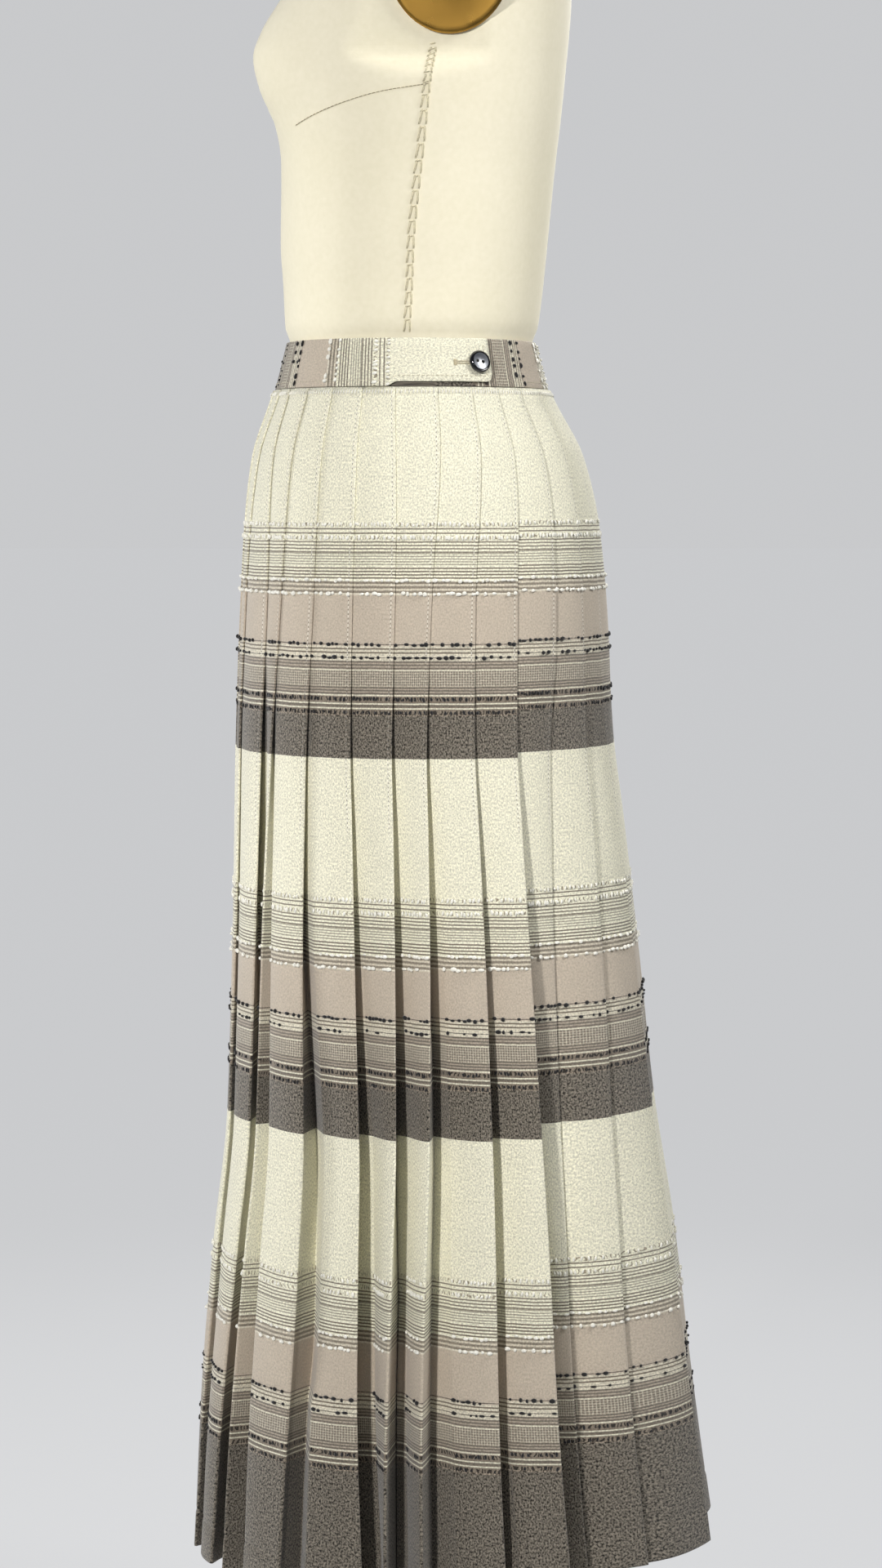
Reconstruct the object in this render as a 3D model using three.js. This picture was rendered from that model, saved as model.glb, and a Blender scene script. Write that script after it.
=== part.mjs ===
import * as THREE from 'three';

// A knife-pleated skirt worn by a limbless dress form on a pole stand.
// Millimetres, +Z up, front towards -Y, the wearer's left towards +X.

// Heights. "Drop" is measured down from the top edge of the waistband.
const WAIST_HEIGHT = 1045;
const BAND_WIDTH = 35;
const SKIRT_LENGTH = 893;
const SEAM_GAP = 0.3;

// Cloth and pleats
const CLOTH_WALL = 1.2;
const LAYER_STEP = 2.6;
const PLEAT_COUNT = 28;
const FIRST_FOLD_ANGLE = -8.5;
const RIGHT_SEAM_FOLD = 14;
const PANEL_WIDTH = 35;
const STITCHED_DROP = 230;
const FULL_OPEN_DROP = 860;
const OPENING_CURVE = 0.8;
const FACE_BULGE = 0.8;
const FREE_BULGE = 1.2;
const MOST_LEAN = 30;

// The underlay swings deeper, in degrees, where a wide gap opens beside its fold edge
const UNDERLAY_DROOP = 5;
const UNDERLAY_SWING = 50;
const FULL_SWING_GAP = 18;
const MOST_SWING = 80;
const UNDERLAY_SHARE = 0.8;
const LEAST_UNDERLAY = 5;
const SHARPEST_MITRE = 0.6;

// Waistband and button
const BAND_WALL = 2.2;
const BAND_LAP_CLEARANCE = 0.4;
const BAND_PROUD = 1.2;
const TAB_START_ANGLE = -8.5;
const TAB_END_ANGLE = 33.5;
const TAB_RISE_ANGLE = 34;
const TAB_RISE_END = 2;
const BAND_STEPS = 64;
const BUTTON_RADIUS = 8;
const BUTTON_THICKNESS = 3;
const BUTTON_BEVEL = 0.6;
const BUTTON_CLEARANCE = 0.55;
const BUTTON_HOLE_RADIUS = 0.9;
const BUTTON_HOLE_SPACING = 4;
const BUTTON_ANGLE = 28;
const BUTTON_DROP = 17.5;

// Dress form and stand
const FORM_BOTTOM_HEIGHT = 715;
const NECK_CAP = { thickness: 12, lip: 1.03, lipHeight: 3, shoulderHeight: 7, crown: 0.7 };
const ARM_PLATE = {
  halfWidth: 45, halfHeight: 54, thickness: 4, bevel: 1, y: 23, above: 266, flatAt: 138, lean: 0.16,
};
const PLATE_MARGIN = 12;
const PLATE_FADE = 60;
const POLE_Y = 5;
const POLE_RADIUS = 14;
const COLLAR = { radius: 30, height: 46, shoulder: 6, coneRadius: 22, coneHeight: 14 };
const BASE = {
  radius: 190, undercut: 4, foot: 3, rim: 9, bevel: 6, skirt: 40, dome: 26,
  hub: 34, hubTaper: 6, hubHeight: 62,
};

// The cloth's outer outline: half sizes from the form's axis, by drop
const CLOTH_OUTLINE = [
  { at: 0, front: 98.9, back: 88.9, side: 118 },
  { at: 35, front: 107.8, back: 98.4, side: 127 },
  { at: 85, front: 124.1, back: 123.3, side: 147 },
  { at: 133, front: 129.6, back: 134.6, side: 160 },
  { at: 194, front: 132.8, back: 140.8, side: 170 },
  { at: 291, front: 136.7, back: 146.3, side: 176 },
  { at: 353, front: 138.1, back: 154, side: 180 },
  { at: 476, front: 141, back: 168.2, side: 187 },
  { at: 569, front: 143, back: 178.3, side: 193 },
  { at: 662, front: 152, back: 191.7, side: 200 },
  { at: 788, front: 163.6, back: 206.9, side: 210 },
  { at: 893, front: 170.4, back: 220.7, side: 220 },
];
const CLOTH_SQUARENESS = 2.2;

// How deep the hidden underlay of a pleat is, by drop
const UNDERLAY = [
  { at: 35, depth: 17 },
  { at: 85, depth: 21 },
  { at: 200, depth: 25 },
  { at: 500, depth: 28 },
  { at: 893, depth: 30 },
];

// One row for each fold edge, counter-clockwise seen from above, from the opening on the wearer's left:
// turns in degrees from an even spacing, then at the hem, in mm, the gap that opens beside the edge,
// how far the edge stands out, and how much higher its cloth hangs.
const FOLDS = [
  { waist: 2, hip: 0, thigh: -2.5, calf: -5, hem: -6, gap: 10, out: 0, rise: 0 },
  { waist: 6, hip: -2, thigh: -6, calf: -10, hem: -11, gap: 23, out: 0, rise: 0 },
  { waist: 7, hip: -1.7, thigh: -4, calf: -6, hem: -6.3, gap: 12, out: 2, rise: 0 },
  { waist: 5.5, hip: -1.4, thigh: -4.6, calf: -6, hem: -5.6, gap: 0, out: 5, rise: 0 },
  { waist: 4, hip: -0.5, thigh: -7, calf: -10, hem: -10, gap: 0, out: -24, rise: 12 },
  { waist: 4, hip: 0, thigh: -4, calf: -9.5, hem: -9.7, gap: 3, out: -6, rise: 12 },
  { waist: 3, hip: 0, thigh: -1, calf: -2, hem: -1, gap: 6, out: 6, rise: 12 },
  { waist: 2, hip: 1, thigh: 2, calf: 1, hem: 2, gap: 4, out: -4, rise: 11 },
  { waist: 1, hip: 0, thigh: 1, calf: 3, hem: 4, gap: 12, out: 3, rise: 10 },
  { waist: 0, hip: 0, thigh: -1, calf: -1, hem: -2, gap: 2, out: -8, rise: 9 },
  { waist: 0, hip: -1, thigh: -2, calf: -3, hem: -3, gap: 9, out: 0, rise: 8 },
  { waist: -1, hip: 0, thigh: 1, calf: 2, hem: 3, gap: 14, out: 4, rise: 6 },
  { waist: -2, hip: 0, thigh: 2, calf: 3, hem: 2, gap: 5, out: -3, rise: 5 },
  { waist: -2, hip: 1, thigh: 0, calf: -2, hem: -3, gap: 0, out: -10, rise: 4 },
  { waist: -2, hip: 0, thigh: -1, calf: -3, hem: -4, gap: 12, out: 2, rise: 3 },
  { waist: -3, hip: 0, thigh: 1, calf: 2, hem: 3, gap: 16, out: 5, rise: 2 },
  { waist: -4, hip: 1, thigh: 3, calf: 4, hem: 5, gap: 7, out: -6, rise: 1 },
  { waist: -4, hip: 0, thigh: 1, calf: 1, hem: 0, gap: 3, out: -2, rise: 0 },
  { waist: -3, hip: -1, thigh: -2, calf: -4, hem: -4, gap: 14, out: 3, rise: 0 },
  { waist: -2, hip: 0, thigh: 0, calf: 1, hem: 2, gap: 18, out: 4, rise: 0 },
  { waist: -1, hip: 0, thigh: 2, calf: 4, hem: 5, gap: 6, out: -5, rise: 0 },
  { waist: 1, hip: 0, thigh: 0, calf: 0, hem: 0, gap: 10, out: 0, rise: 0 },
  { waist: 3, hip: 1, thigh: -1, calf: -2, hem: -3, gap: 8, out: -3, rise: 0 },
  { waist: 6, hip: 1.5, thigh: 0, calf: -2, hem: -2, gap: 12, out: 2, rise: 0 },
  { waist: 3, hip: 6, thigh: 2.5, calf: -1, hem: -2, gap: 4, out: 0, rise: 0 },
  { waist: 2.4, hip: 0, thigh: -6, calf: -9, hem: -9, gap: 19, out: 0, rise: 0 },
  { waist: 1.8, hip: 0, thigh: -3, calf: -2.5, hem: -3.9, gap: 22, out: 2, rise: 0 },
  { waist: 1.7, hip: 0, thigh: -0.5, calf: 0.5, hem: 2, gap: 8, out: 0, rise: 0 },
];
const FOLD_LEVELS = { waist: 37, hip: 190, thigh: 450, calf: 720, hem: 893 };
const SKIRT_TOP = BAND_WIDTH + SEAM_GAP;
const SKIRT_LEVELS = [SKIRT_TOP, 60, 90, 140, 200, 260, 330, 420, 520, 620, 720, 810, SKIRT_LENGTH];

// The form's outline by height above the waistband's top edge; "mound" is how far the bust stands out
const FORM_OUTLINE = [
  { at: -330, front: 106, back: 122, side: 146, mound: 0 },
  { at: -322, front: 112, back: 128, side: 152, mound: 0 },
  { at: -260, front: 116, back: 129, side: 156, mound: 0 },
  { at: -190, front: 117, back: 125, side: 154, mound: 0 },
  { at: -133, front: 113.5, back: 118, side: 144, mound: 0 },
  { at: -85, front: 107, back: 106, side: 130, mound: 0 },
  { at: -50, front: 97.5, back: 90, side: 118, mound: 0 },
  { at: -30, front: 94.6, back: 84.6, side: 111, mound: 0 },
  { at: 0, front: 94.6, back: 84.6, side: 111, mound: 0 },
  { at: 10, front: 98.2, back: 88.4, side: 114, mound: 0 },
  { at: 42, front: 99.8, back: 92.8, side: 118, mound: 0 },
  { at: 72, front: 101.6, back: 95.8, side: 123, mound: 0 },
  { at: 132, front: 100.5, back: 101.7, side: 131, mound: 3 },
  { at: 157, front: 102, back: 104.7, side: 135, mound: 9 },
  { at: 180, front: 103.5, back: 107.2, side: 138, mound: 20 },
  { at: 204, front: 103, back: 109.4, side: 140, mound: 25.5 },
  { at: 222, front: 100, back: 111.2, side: 141, mound: 22 },
  { at: 246, front: 93, back: 112.9, side: 142, mound: 13.5 },
  { at: 275, front: 83, back: 113.5, side: 144, mound: 5 },
  { at: 310, front: 72, back: 112, side: 149, mound: 0 },
  { at: 345, front: 61, back: 106, side: 155, mound: 0 },
  { at: 372, front: 53, back: 97, side: 157, mound: 0 },
  { at: 388, front: 49, back: 87, side: 150, mound: 0 },
  { at: 402, front: 46, back: 76, side: 122, mound: 0 },
  { at: 416, front: 44, back: 68, side: 92, mound: 0 },
  { at: 432, front: 42, back: 62, side: 66, mound: 0 },
  { at: 450, front: 41, back: 58, side: 55, mound: 0 },
  { at: 482, front: 40, back: 57, side: 52, mound: 0 },
];
const FORM_SQUARENESS = 2.25;
const FORM_SIDES = 40;
const BUST_SPACING = 74;
const BUST_WIDTH = 46;
const BUST_FADE = 60;

const CLOTH = { color: 0xcfc8b4, roughness: 0.9, metalness: 0 };
const BAND_CLOTH = { color: 0xa89c8a, roughness: 0.9, metalness: 0 };
const LINEN = { color: 0xf1ead0, roughness: 0.85, metalness: 0 };
const GOLD = { color: 0xc09a45, roughness: 0.35, metalness: 1 };
const STEEL = { color: 0xa8aaad, roughness: 0.3, metalness: 1 };
const IRON = { color: 0x26272a, roughness: 0.55, metalness: 0.6 };
const BLACK = { color: 0x0c0c0e, roughness: 0.15, metalness: 0 };

const rad = THREE.MathUtils.degToRad;
const model = new THREE.Group();

function addPiece(name, geometry, finish) {
  const piece = new THREE.Mesh(geometry, new THREE.MeshStandardMaterial(finish));
  piece.name = name;
  model.add(piece);
  return piece;
}

// A smooth curve through one column of a table, with no overshoot between rows
function column(rows, key, at) {
  const last = rows.length - 1;
  if (at <= rows[0].at) return rows[0][key];
  if (at >= rows[last].at) return rows[last][key];
  let i = 0;
  while (rows[i + 1].at < at) i += 1;
  const rise = (j) => (rows[j + 1][key] - rows[j][key]) / (rows[j + 1].at - rows[j].at);
  const slope = (j) => {
    if (j === 0) return rise(0);
    if (j === last) return rise(last - 1);
    const before = rise(j - 1);
    const after = rise(j);
    return before * after <= 0 ? 0 : (2 * before * after) / (before + after);
  };
  const span = rows[i + 1].at - rows[i].at;
  const t = (at - rows[i].at) / span;
  const a = rows[i][key];
  const b = rows[i + 1][key];
  const lead = t * t * (3 - 2 * t);
  return a + (b - a) * lead
    + span * (slope(i) * t * (1 - t) ** 2 - slope(i + 1) * t * t * (1 - t));
}

// A point on a squarish oval, seen from above; 0 degrees is the wearer's left and 90 the back
function onOval(size, angle, squareness) {
  const c = Math.cos(angle);
  const s = Math.sin(angle);
  const reach = (Math.abs(c) ** squareness + Math.abs(s) ** squareness) ** (-1 / squareness);
  const middle = (size.back - size.front) / 2;
  const depth = (size.back + size.front) / 2;
  return new THREE.Vector2(size.side * c * reach, middle + depth * s * reach);
}

function sizeAt(rows, at) {
  return {
    front: column(rows, 'front', at),
    back: column(rows, 'back', at),
    side: column(rows, 'side', at),
  };
}

// The cloth's outline at one drop: a frame that turns (angle, depth below the outline) into a point
function clothFrame(drop) {
  const size = sizeAt(CLOTH_OUTLINE, drop);
  const at = (angle) => onOval(size, angle, CLOTH_SQUARENESS);
  const step = 0.02;
  const along = (angle) => at(angle + step).sub(at(angle - step)).divideScalar(2 * step);
  return {
    scale: (angle) => along(angle).length(),
    point: (angle, depth) => {
      const run = along(angle).normalize();
      return at(angle).add(new THREE.Vector2(-run.y, run.x).multiplyScalar(depth));
    },
  };
}

const FOLD_ROWS = FOLDS.map((fold) => Object.entries(FOLD_LEVELS)
  .map(([level, at]) => ({ at, turn: fold[level] })));

function foldOf(index) {
  return ((index % PLEAT_COUNT) + PLEAT_COUNT) % PLEAT_COUNT;
}

function foldAngle(index, drop) {
  const even = FIRST_FOLD_ANGLE + (index * 360) / PLEAT_COUNT;
  return rad(even + column(FOLD_ROWS[foldOf(index)], 'turn', drop));
}

// 0 where the pleats are stitched down, 1 where they hang fully free
function openness(drop) {
  const free = (drop - STITCHED_DROP) / (FULL_OPEN_DROP - STITCHED_DROP);
  return THREE.MathUtils.clamp(free, 0, 1) ** OPENING_CURVE;
}

// One pleat at one drop, in mm beside and below its fold edge: where the panel starts and the underlay ends
function pleatShape(frame, index, drop) {
  const open = openness(drop);
  const stack = 2 * LAYER_STEP;
  const surface = (k) => CLOTH_WALL / 2 - FOLDS[foldOf(k)].out * open;
  const gap = (k) => FOLDS[foldOf(k)].gap * open;
  const panelFrom = (k, shift) => {
    const before = foldAngle(k - 1, drop);
    const start = before + (gap(k - 1) + shift) / frame.scale(before);
    const chord = frame.point(foldAngle(k, drop), 0).distanceTo(frame.point(start, 0));
    const lean = Math.min(MOST_LEAN, Math.sqrt(Math.max(0, PANEL_WIDTH ** 2 - chord ** 2)));
    const seated = surface(k - 1) + stack;
    const depth = seated + open * Math.max(0, surface(k) + lean - seated);
    return { start, chord, depth, slope: Math.atan2(depth - surface(k), chord) };
  };
  // A leaning panel carries its underlay sideways, and the next panel starts past it
  const panel = (k) => panelFrom(k, stack * Math.sin(panelFrom(k - 1, 0).slope));
  const angle = foldAngle(index, drop);
  const face = panel(index);
  const next = panel(index + 1);
  const scale = face.chord / (angle - face.start);
  const swung = rad(UNDERLAY_SWING) * Math.min(1, gap(index) / FULL_SWING_GAP);
  const swing = Math.min(rad(MOST_SWING), face.slope + rad(UNDERLAY_DROOP) + swung);
  const width = Math.hypot(face.chord, face.depth - surface(index));
  const reach = Math.min(column(UNDERLAY, 'depth', drop), width * UNDERLAY_SHARE);
  const half = Math.hypot(gap(index), next.depth - surface(index)) / 2;
  const length = Math.sqrt(Math.max(LEAST_UNDERLAY ** 2, reach ** 2 - half ** 2));
  return { angle, scale, surface: surface(index), face, next, swing, gap: gap(index), length };
}

// The centre line of the cloth round one pleat: panel, fold edge, underlay, inner fold
function pleatLine(drop, index) {
  const frame = clothFrame(drop);
  const p = pleatShape(frame, index, drop);
  const place = (beside, below) => frame.point(p.angle + beside / p.scale, below);
  const middle = (p.face.start + p.angle) / 2;
  const bulge = FACE_BULGE + (p.face.chord < PANEL_WIDTH ? FREE_BULGE * openness(drop) : 0);
  const lip = { beside: LAYER_STEP * Math.sin(p.face.slope), below: LAYER_STEP * Math.cos(p.face.slope) };
  const inner = {
    beside: p.gap / 2 - p.length * Math.cos(p.swing),
    below: (p.surface + p.next.depth) / 2 + p.length * Math.sin(p.swing),
  };
  const turn = { beside: (LAYER_STEP * Math.sin(p.swing)) / 2, below: (LAYER_STEP * Math.cos(p.swing)) / 2 };
  const points = {
    start: frame.point(p.face.start, p.face.depth),
    face: frame.point(middle, (p.surface + p.face.depth) / 2 - bulge),
    edge: place(0, p.surface),
    tuck: place(lip.beside, p.surface + lip.below),
    inner: place(inner.beside - turn.beside, inner.below - turn.below),
    back: place(inner.beside + turn.beside, inner.below + turn.below),
  };
  const rise = (FOLDS[foldOf(index)].rise * (drop - SKIRT_TOP)) / (SKIRT_LENGTH - SKIRT_TOP);
  return Object.fromEntries(Object.entries(points)
    .map(([name, point]) => [name, new THREE.Vector3(point.x, point.y, WAIST_HEIGHT - drop + rise)]));
}

// Points moved sideways from a line, as seen from above, with square-cut ends and mitred corners
function offsetLine(line, distance) {
  const flat = line.map((point) => new THREE.Vector2(point.x, point.y));
  const runs = flat.slice(1).map((point, i) => point.clone().sub(flat[i]).normalize());
  return line.map((point, i) => {
    const a = runs[Math.max(0, i - 1)];
    const b = runs[Math.min(runs.length - 1, i)];
    const normal = new THREE.Vector2(a.y + b.y, -a.x - b.x).normalize();
    const stretch = distance / Math.max(SHARPEST_MITRE, normal.dot(new THREE.Vector2(a.y, -a.x)));
    return new THREE.Vector3(point.x + normal.x * stretch, point.y + normal.y * stretch, point.z);
  });
}

// A closed wall of cloth: the same open line at several heights, from the lowest up, given a thickness.
// Both faces of the wall are split along the same diagonals, so they stay apart where the cloth twists.
function wallFromLines(lines, thickness) {
  const positions = [];
  const indices = [];
  const count = lines[0].length;
  for (const line of lines) {
    const outside = offsetLine(line, thickness / 2);
    const inside = offsetLine(line, -thickness / 2).reverse();
    for (const point of [...outside, ...inside]) positions.push(point.x, point.y, point.z);
  }
  const ring = 2 * count;
  for (let level = 0; level < lines.length - 1; level += 1) {
    for (let i = 0; i < ring; i += 1) {
      const a = level * ring + i;
      const b = level * ring + ((i + 1) % ring);
      if (i < count) indices.push(a, b, b + ring, a, b + ring, a + ring);
      else indices.push(a, b, a + ring, b, b + ring, a + ring);
    }
  }
  const top = (lines.length - 1) * ring;
  for (let i = 0; i < count - 1; i += 1) {
    const j = ring - 1 - i;
    indices.push(i, j, j - 1, i, j - 1, i + 1);
    indices.push(top + i, top + i + 1, top + j - 1, top + i, top + j - 1, top + j);
  }
  return bodyFrom(positions, indices);
}

function bodyFrom(positions, indices) {
  const geometry = new THREE.BufferGeometry();
  geometry.setAttribute('position', new THREE.Float32BufferAttribute(positions, 3));
  geometry.setIndex(indices);
  return geometry;
}

// Closed rings stacked from the lowest up, closed by flat ends
function bodyFromRings(rings) {
  const positions = [];
  const indices = [];
  const count = rings[0].points.length;
  for (const { points, z } of rings) {
    for (const point of points) positions.push(point.x, point.y, z);
  }
  for (let level = 0; level < rings.length - 1; level += 1) {
    for (let i = 0; i < count; i += 1) {
      const a = level * count + i;
      const b = level * count + ((i + 1) % count);
      indices.push(a, b, b + count, a, b + count, a + count);
    }
  }
  const ends = [{ first: 0, flip: true }, { first: (rings.length - 1) * count, flip: false }];
  for (const { first, flip } of ends) {
    const outline = rings[first / count].points;
    for (const [a, b, c] of THREE.ShapeUtils.triangulateShape(outline, [])) {
      if (flip) indices.push(first + a, first + c, first + b);
      else indices.push(first + a, first + b, first + c);
    }
  }
  return bodyFrom(positions, indices);
}

// Skirt panels: the line runs from one inner fold, round the pleats, to another inner fold.
// At a side seam the two cloth ends lie face to face at the inner fold.
function skirtPanel(firstFold, lastFold) {
  const seamSlack = (LAYER_STEP - CLOTH_WALL - 3 * SEAM_GAP) / 2;
  const lines = [...SKIRT_LEVELS].reverse().map((drop) => {
    const seam = pleatLine(drop, firstFold);
    const line = [seam.back.add(seam.inner.clone().sub(seam.back).setLength(seamSlack))];
    for (let k = firstFold + 1; k <= lastFold; k += 1) {
      const pleat = pleatLine(drop, k);
      line.push(pleat.start, pleat.face, pleat.edge, pleat.tuck, pleat.inner);
      if (k < lastFold) line.push(pleat.back);
      else pleat.inner.add(pleat.back.clone().sub(pleat.inner).setLength(seamSlack));
    }
    return line;
  });
  return wallFromLines(lines, CLOTH_WALL);
}

function buildSkirt() {
  addPiece('skirt_back', skirtPanel(0, RIGHT_SEAM_FOLD), CLOTH);
  addPiece('skirt_front', skirtPanel(RIGHT_SEAM_FOLD, PLEAT_COUNT), CLOTH);
}

// The waistband is one strip: its end lies on the form under the tab, and the tab laps over it
function bandLine(drop) {
  const frame = clothFrame(drop);
  const lap = BAND_WALL + BAND_LAP_CLEARANCE;
  const first = TAB_START_ANGLE;
  const last = TAB_END_ANGLE + 360;
  const riseEnd = TAB_START_ANGLE + 360 - TAB_RISE_END;
  const line = [];
  for (let i = 0; i <= BAND_STEPS; i += 1) {
    const angle = first + ((last - first) * i) / BAND_STEPS;
    const rise = THREE.MathUtils.smoothstep(angle, riseEnd - TAB_RISE_ANGLE, riseEnd);
    const point = frame.point(rad(angle), BAND_WALL / 2 + lap * (1 - rise) - BAND_PROUD);
    line.push(new THREE.Vector3(point.x, point.y, WAIST_HEIGHT - drop));
  }
  return line;
}

function buildWaistband() {
  const lines = [BAND_WIDTH, BAND_WIDTH / 2, 0].map(bandLine);
  addPiece('waistband', wallFromLines(lines, BAND_WALL), BAND_CLOTH);
}

// A round button with two thread holes, flat on the tab and tilted with it
function buildButton() {
  const outline = new THREE.Shape();
  outline.absarc(0, 0, BUTTON_RADIUS - BUTTON_BEVEL, 0, 2 * Math.PI, false);
  for (const side of [-1, 1]) {
    const hole = new THREE.Path();
    hole.absarc((side * BUTTON_HOLE_SPACING) / 2, 0, BUTTON_HOLE_RADIUS, 0, 2 * Math.PI, true);
    outline.holes.push(hole);
  }
  const geometry = new THREE.ExtrudeGeometry(outline, {
    depth: BUTTON_THICKNESS - 2 * BUTTON_BEVEL,
    bevelThickness: BUTTON_BEVEL,
    bevelSize: BUTTON_BEVEL,
    bevelSegments: 1,
    curveSegments: 14,
  });
  const button = addPiece('button', geometry, BLACK);
  const upper = clothFrame(0).point(rad(BUTTON_ANGLE), 0);
  const lower = clothFrame(BAND_WIDTH).point(rad(BUTTON_ANGLE), 0);
  const here = clothFrame(BUTTON_DROP);
  const centre = here.point(rad(BUTTON_ANGLE), 0);
  const inward = here.point(rad(BUTTON_ANGLE), 1).sub(centre);
  const slope = new THREE.Vector3(upper.x - lower.x, upper.y - lower.y, BAND_WIDTH).normalize();
  const across = new THREE.Vector3(-inward.y, inward.x, 0).negate().normalize();
  const outward = across.clone().cross(slope).normalize();
  const lift = BAND_PROUD + SEAM_GAP + BUTTON_BEVEL + BUTTON_CLEARANCE;
  const seat = new THREE.Vector3(centre.x, centre.y, WAIST_HEIGHT - BUTTON_DROP);
  const turn = new THREE.Matrix4().makeBasis(across, slope, outward);
  button.quaternion.setFromRotationMatrix(turn);
  button.position.copy(seat).addScaledVector(outward, lift);
}

// The padded form: bust mounds on the front, and a flat at each armhole where a plate sits
function formSection(above) {
  const size = sizeAt(FORM_OUTLINE, above);
  const mound = column(FORM_OUTLINE, 'mound', above);
  const plate = ARM_PLATE;
  const reach = Math.abs(above - plate.above) / (plate.halfHeight + PLATE_MARGIN);
  const flat = plate.flatAt + plate.lean * (above - plate.above) + PLATE_FADE * Math.max(0, reach - 1);
  const points = [];
  for (let i = 0; i < FORM_SIDES; i += 1) {
    const point = onOval(size, (2 * Math.PI * i) / FORM_SIDES, FORM_SQUARENESS);
    const nearest = Math.abs(Math.abs(point.x) - BUST_SPACING) / BUST_WIDTH;
    const front = THREE.MathUtils.smoothstep(-point.y, 0, BUST_FADE);
    point.y -= mound * Math.exp(-(nearest ** 2)) * front;
    point.x = THREE.MathUtils.clamp(point.x, -flat, flat);
    points.push(point);
  }
  return points;
}

function buildForm() {
  const heights = [
    -330, -322, -260, -190, -133, -85, -50, -30, 0, 10, 42, 72, 105, 132, 157, 180, 200, 210, 225, 246,
    275, 305, 332, 350, 372, 388, 402, 416, 432, 450, 482,
  ];
  const rings = heights.map((above) => ({ points: formSection(above), z: WAIST_HEIGHT + above }));
  addPiece('dress_form_torso', bodyFromRings(rings), LINEN);
  const last = heights[heights.length - 1];
  const neckTop = WAIST_HEIGHT + last;
  const neck = formSection(last);
  const quarter = FORM_SIDES / 4;
  const centre = new THREE.Vector2(0, (neck[quarter].y + neck[3 * quarter].y) / 2);
  const capRing = (grow, z) => ({
    points: neck.map((point) => point.clone().sub(centre).multiplyScalar(grow).add(centre)),
    z: neckTop + SEAM_GAP + z,
  });
  const { lip, lipHeight, shoulderHeight, crown, thickness } = NECK_CAP;
  const cap = [capRing(1, 0), capRing(lip, lipHeight), capRing(1, shoulderHeight), capRing(crown, thickness)];
  addPiece('neck_cap', bodyFromRings(cap), GOLD);
}

function buildArmPlates() {
  const { halfWidth, halfHeight, thickness, bevel } = ARM_PLATE;
  const outline = new THREE.Shape();
  outline.absellipse(0, 0, halfWidth - bevel, halfHeight - bevel, 0, 2 * Math.PI, false, 0);
  const geometry = new THREE.ExtrudeGeometry(outline, {
    depth: thickness - 2 * bevel,
    bevelThickness: bevel,
    bevelSize: bevel,
    bevelSegments: 1,
    curveSegments: 12,
  });
  const tilt = Math.atan(ARM_PLATE.lean);
  const lift = (SEAM_GAP + bevel) / Math.cos(tilt);
  for (const [name, side] of [['arm_plate_left', 1], ['arm_plate_right', -1]]) {
    const plate = addPiece(name, geometry, GOLD);
    const outward = new THREE.Vector3(side * Math.cos(tilt), 0, -Math.sin(tilt));
    const upward = new THREE.Vector3(side * Math.sin(tilt), 0, Math.cos(tilt));
    const across = upward.clone().cross(outward);
    plate.quaternion.setFromRotationMatrix(new THREE.Matrix4().makeBasis(across, upward, outward));
    plate.position.set(side * (ARM_PLATE.flatAt + lift), ARM_PLATE.y, WAIST_HEIGHT + ARM_PLATE.above);
  }
}

function turned(profile, segments) {
  const geometry = new THREE.LatheGeometry(profile.map(([r, z]) => new THREE.Vector2(r, z)), segments);
  geometry.rotateX(Math.PI / 2);
  return geometry;
}

function buildStand() {
  const { radius, undercut, foot, rim, bevel, skirt, dome, hub, hubTaper, hubHeight } = BASE;
  const base = turned([
    [0, 0], [radius - undercut, 0], [radius, foot], [radius, rim], [radius - bevel, rim + 4],
    [hub + skirt, dome - 4], [hub, dome + 6], [hub - hubTaper, hubHeight - 4],
    [hub - hubTaper - 4, hubHeight], [0, hubHeight],
  ], 48);
  addPiece('stand_base', base, IRON).position.y = POLE_Y;
  const poleFoot = hubHeight + SEAM_GAP;
  const poleTop = FORM_BOTTOM_HEIGHT - SEAM_GAP;
  const collarFoot = poleTop - COLLAR.height;
  const pole = turned([
    [0, poleFoot], [POLE_RADIUS, poleFoot], [POLE_RADIUS, collarFoot - COLLAR.coneHeight],
    [COLLAR.coneRadius, collarFoot], [COLLAR.radius, collarFoot + COLLAR.shoulder], [COLLAR.radius, poleTop],
    [0, poleTop],
  ], 32);
  addPiece('stand_pole', pole, STEEL).position.y = POLE_Y;
}

buildSkirt();
buildWaistband();
buildButton();
buildForm();
buildArmPlates();
buildStand();

// The origin is under the middle of the whole object, on the floor
const bounds = new THREE.Box3().setFromObject(model);
const centre = bounds.getCenter(new THREE.Vector3());
model.position.set(-centre.x, -centre.y, -bounds.min.z);

export default model;
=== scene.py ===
import math
import random

import bpy
from mathutils import Matrix, Vector, noise


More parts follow.
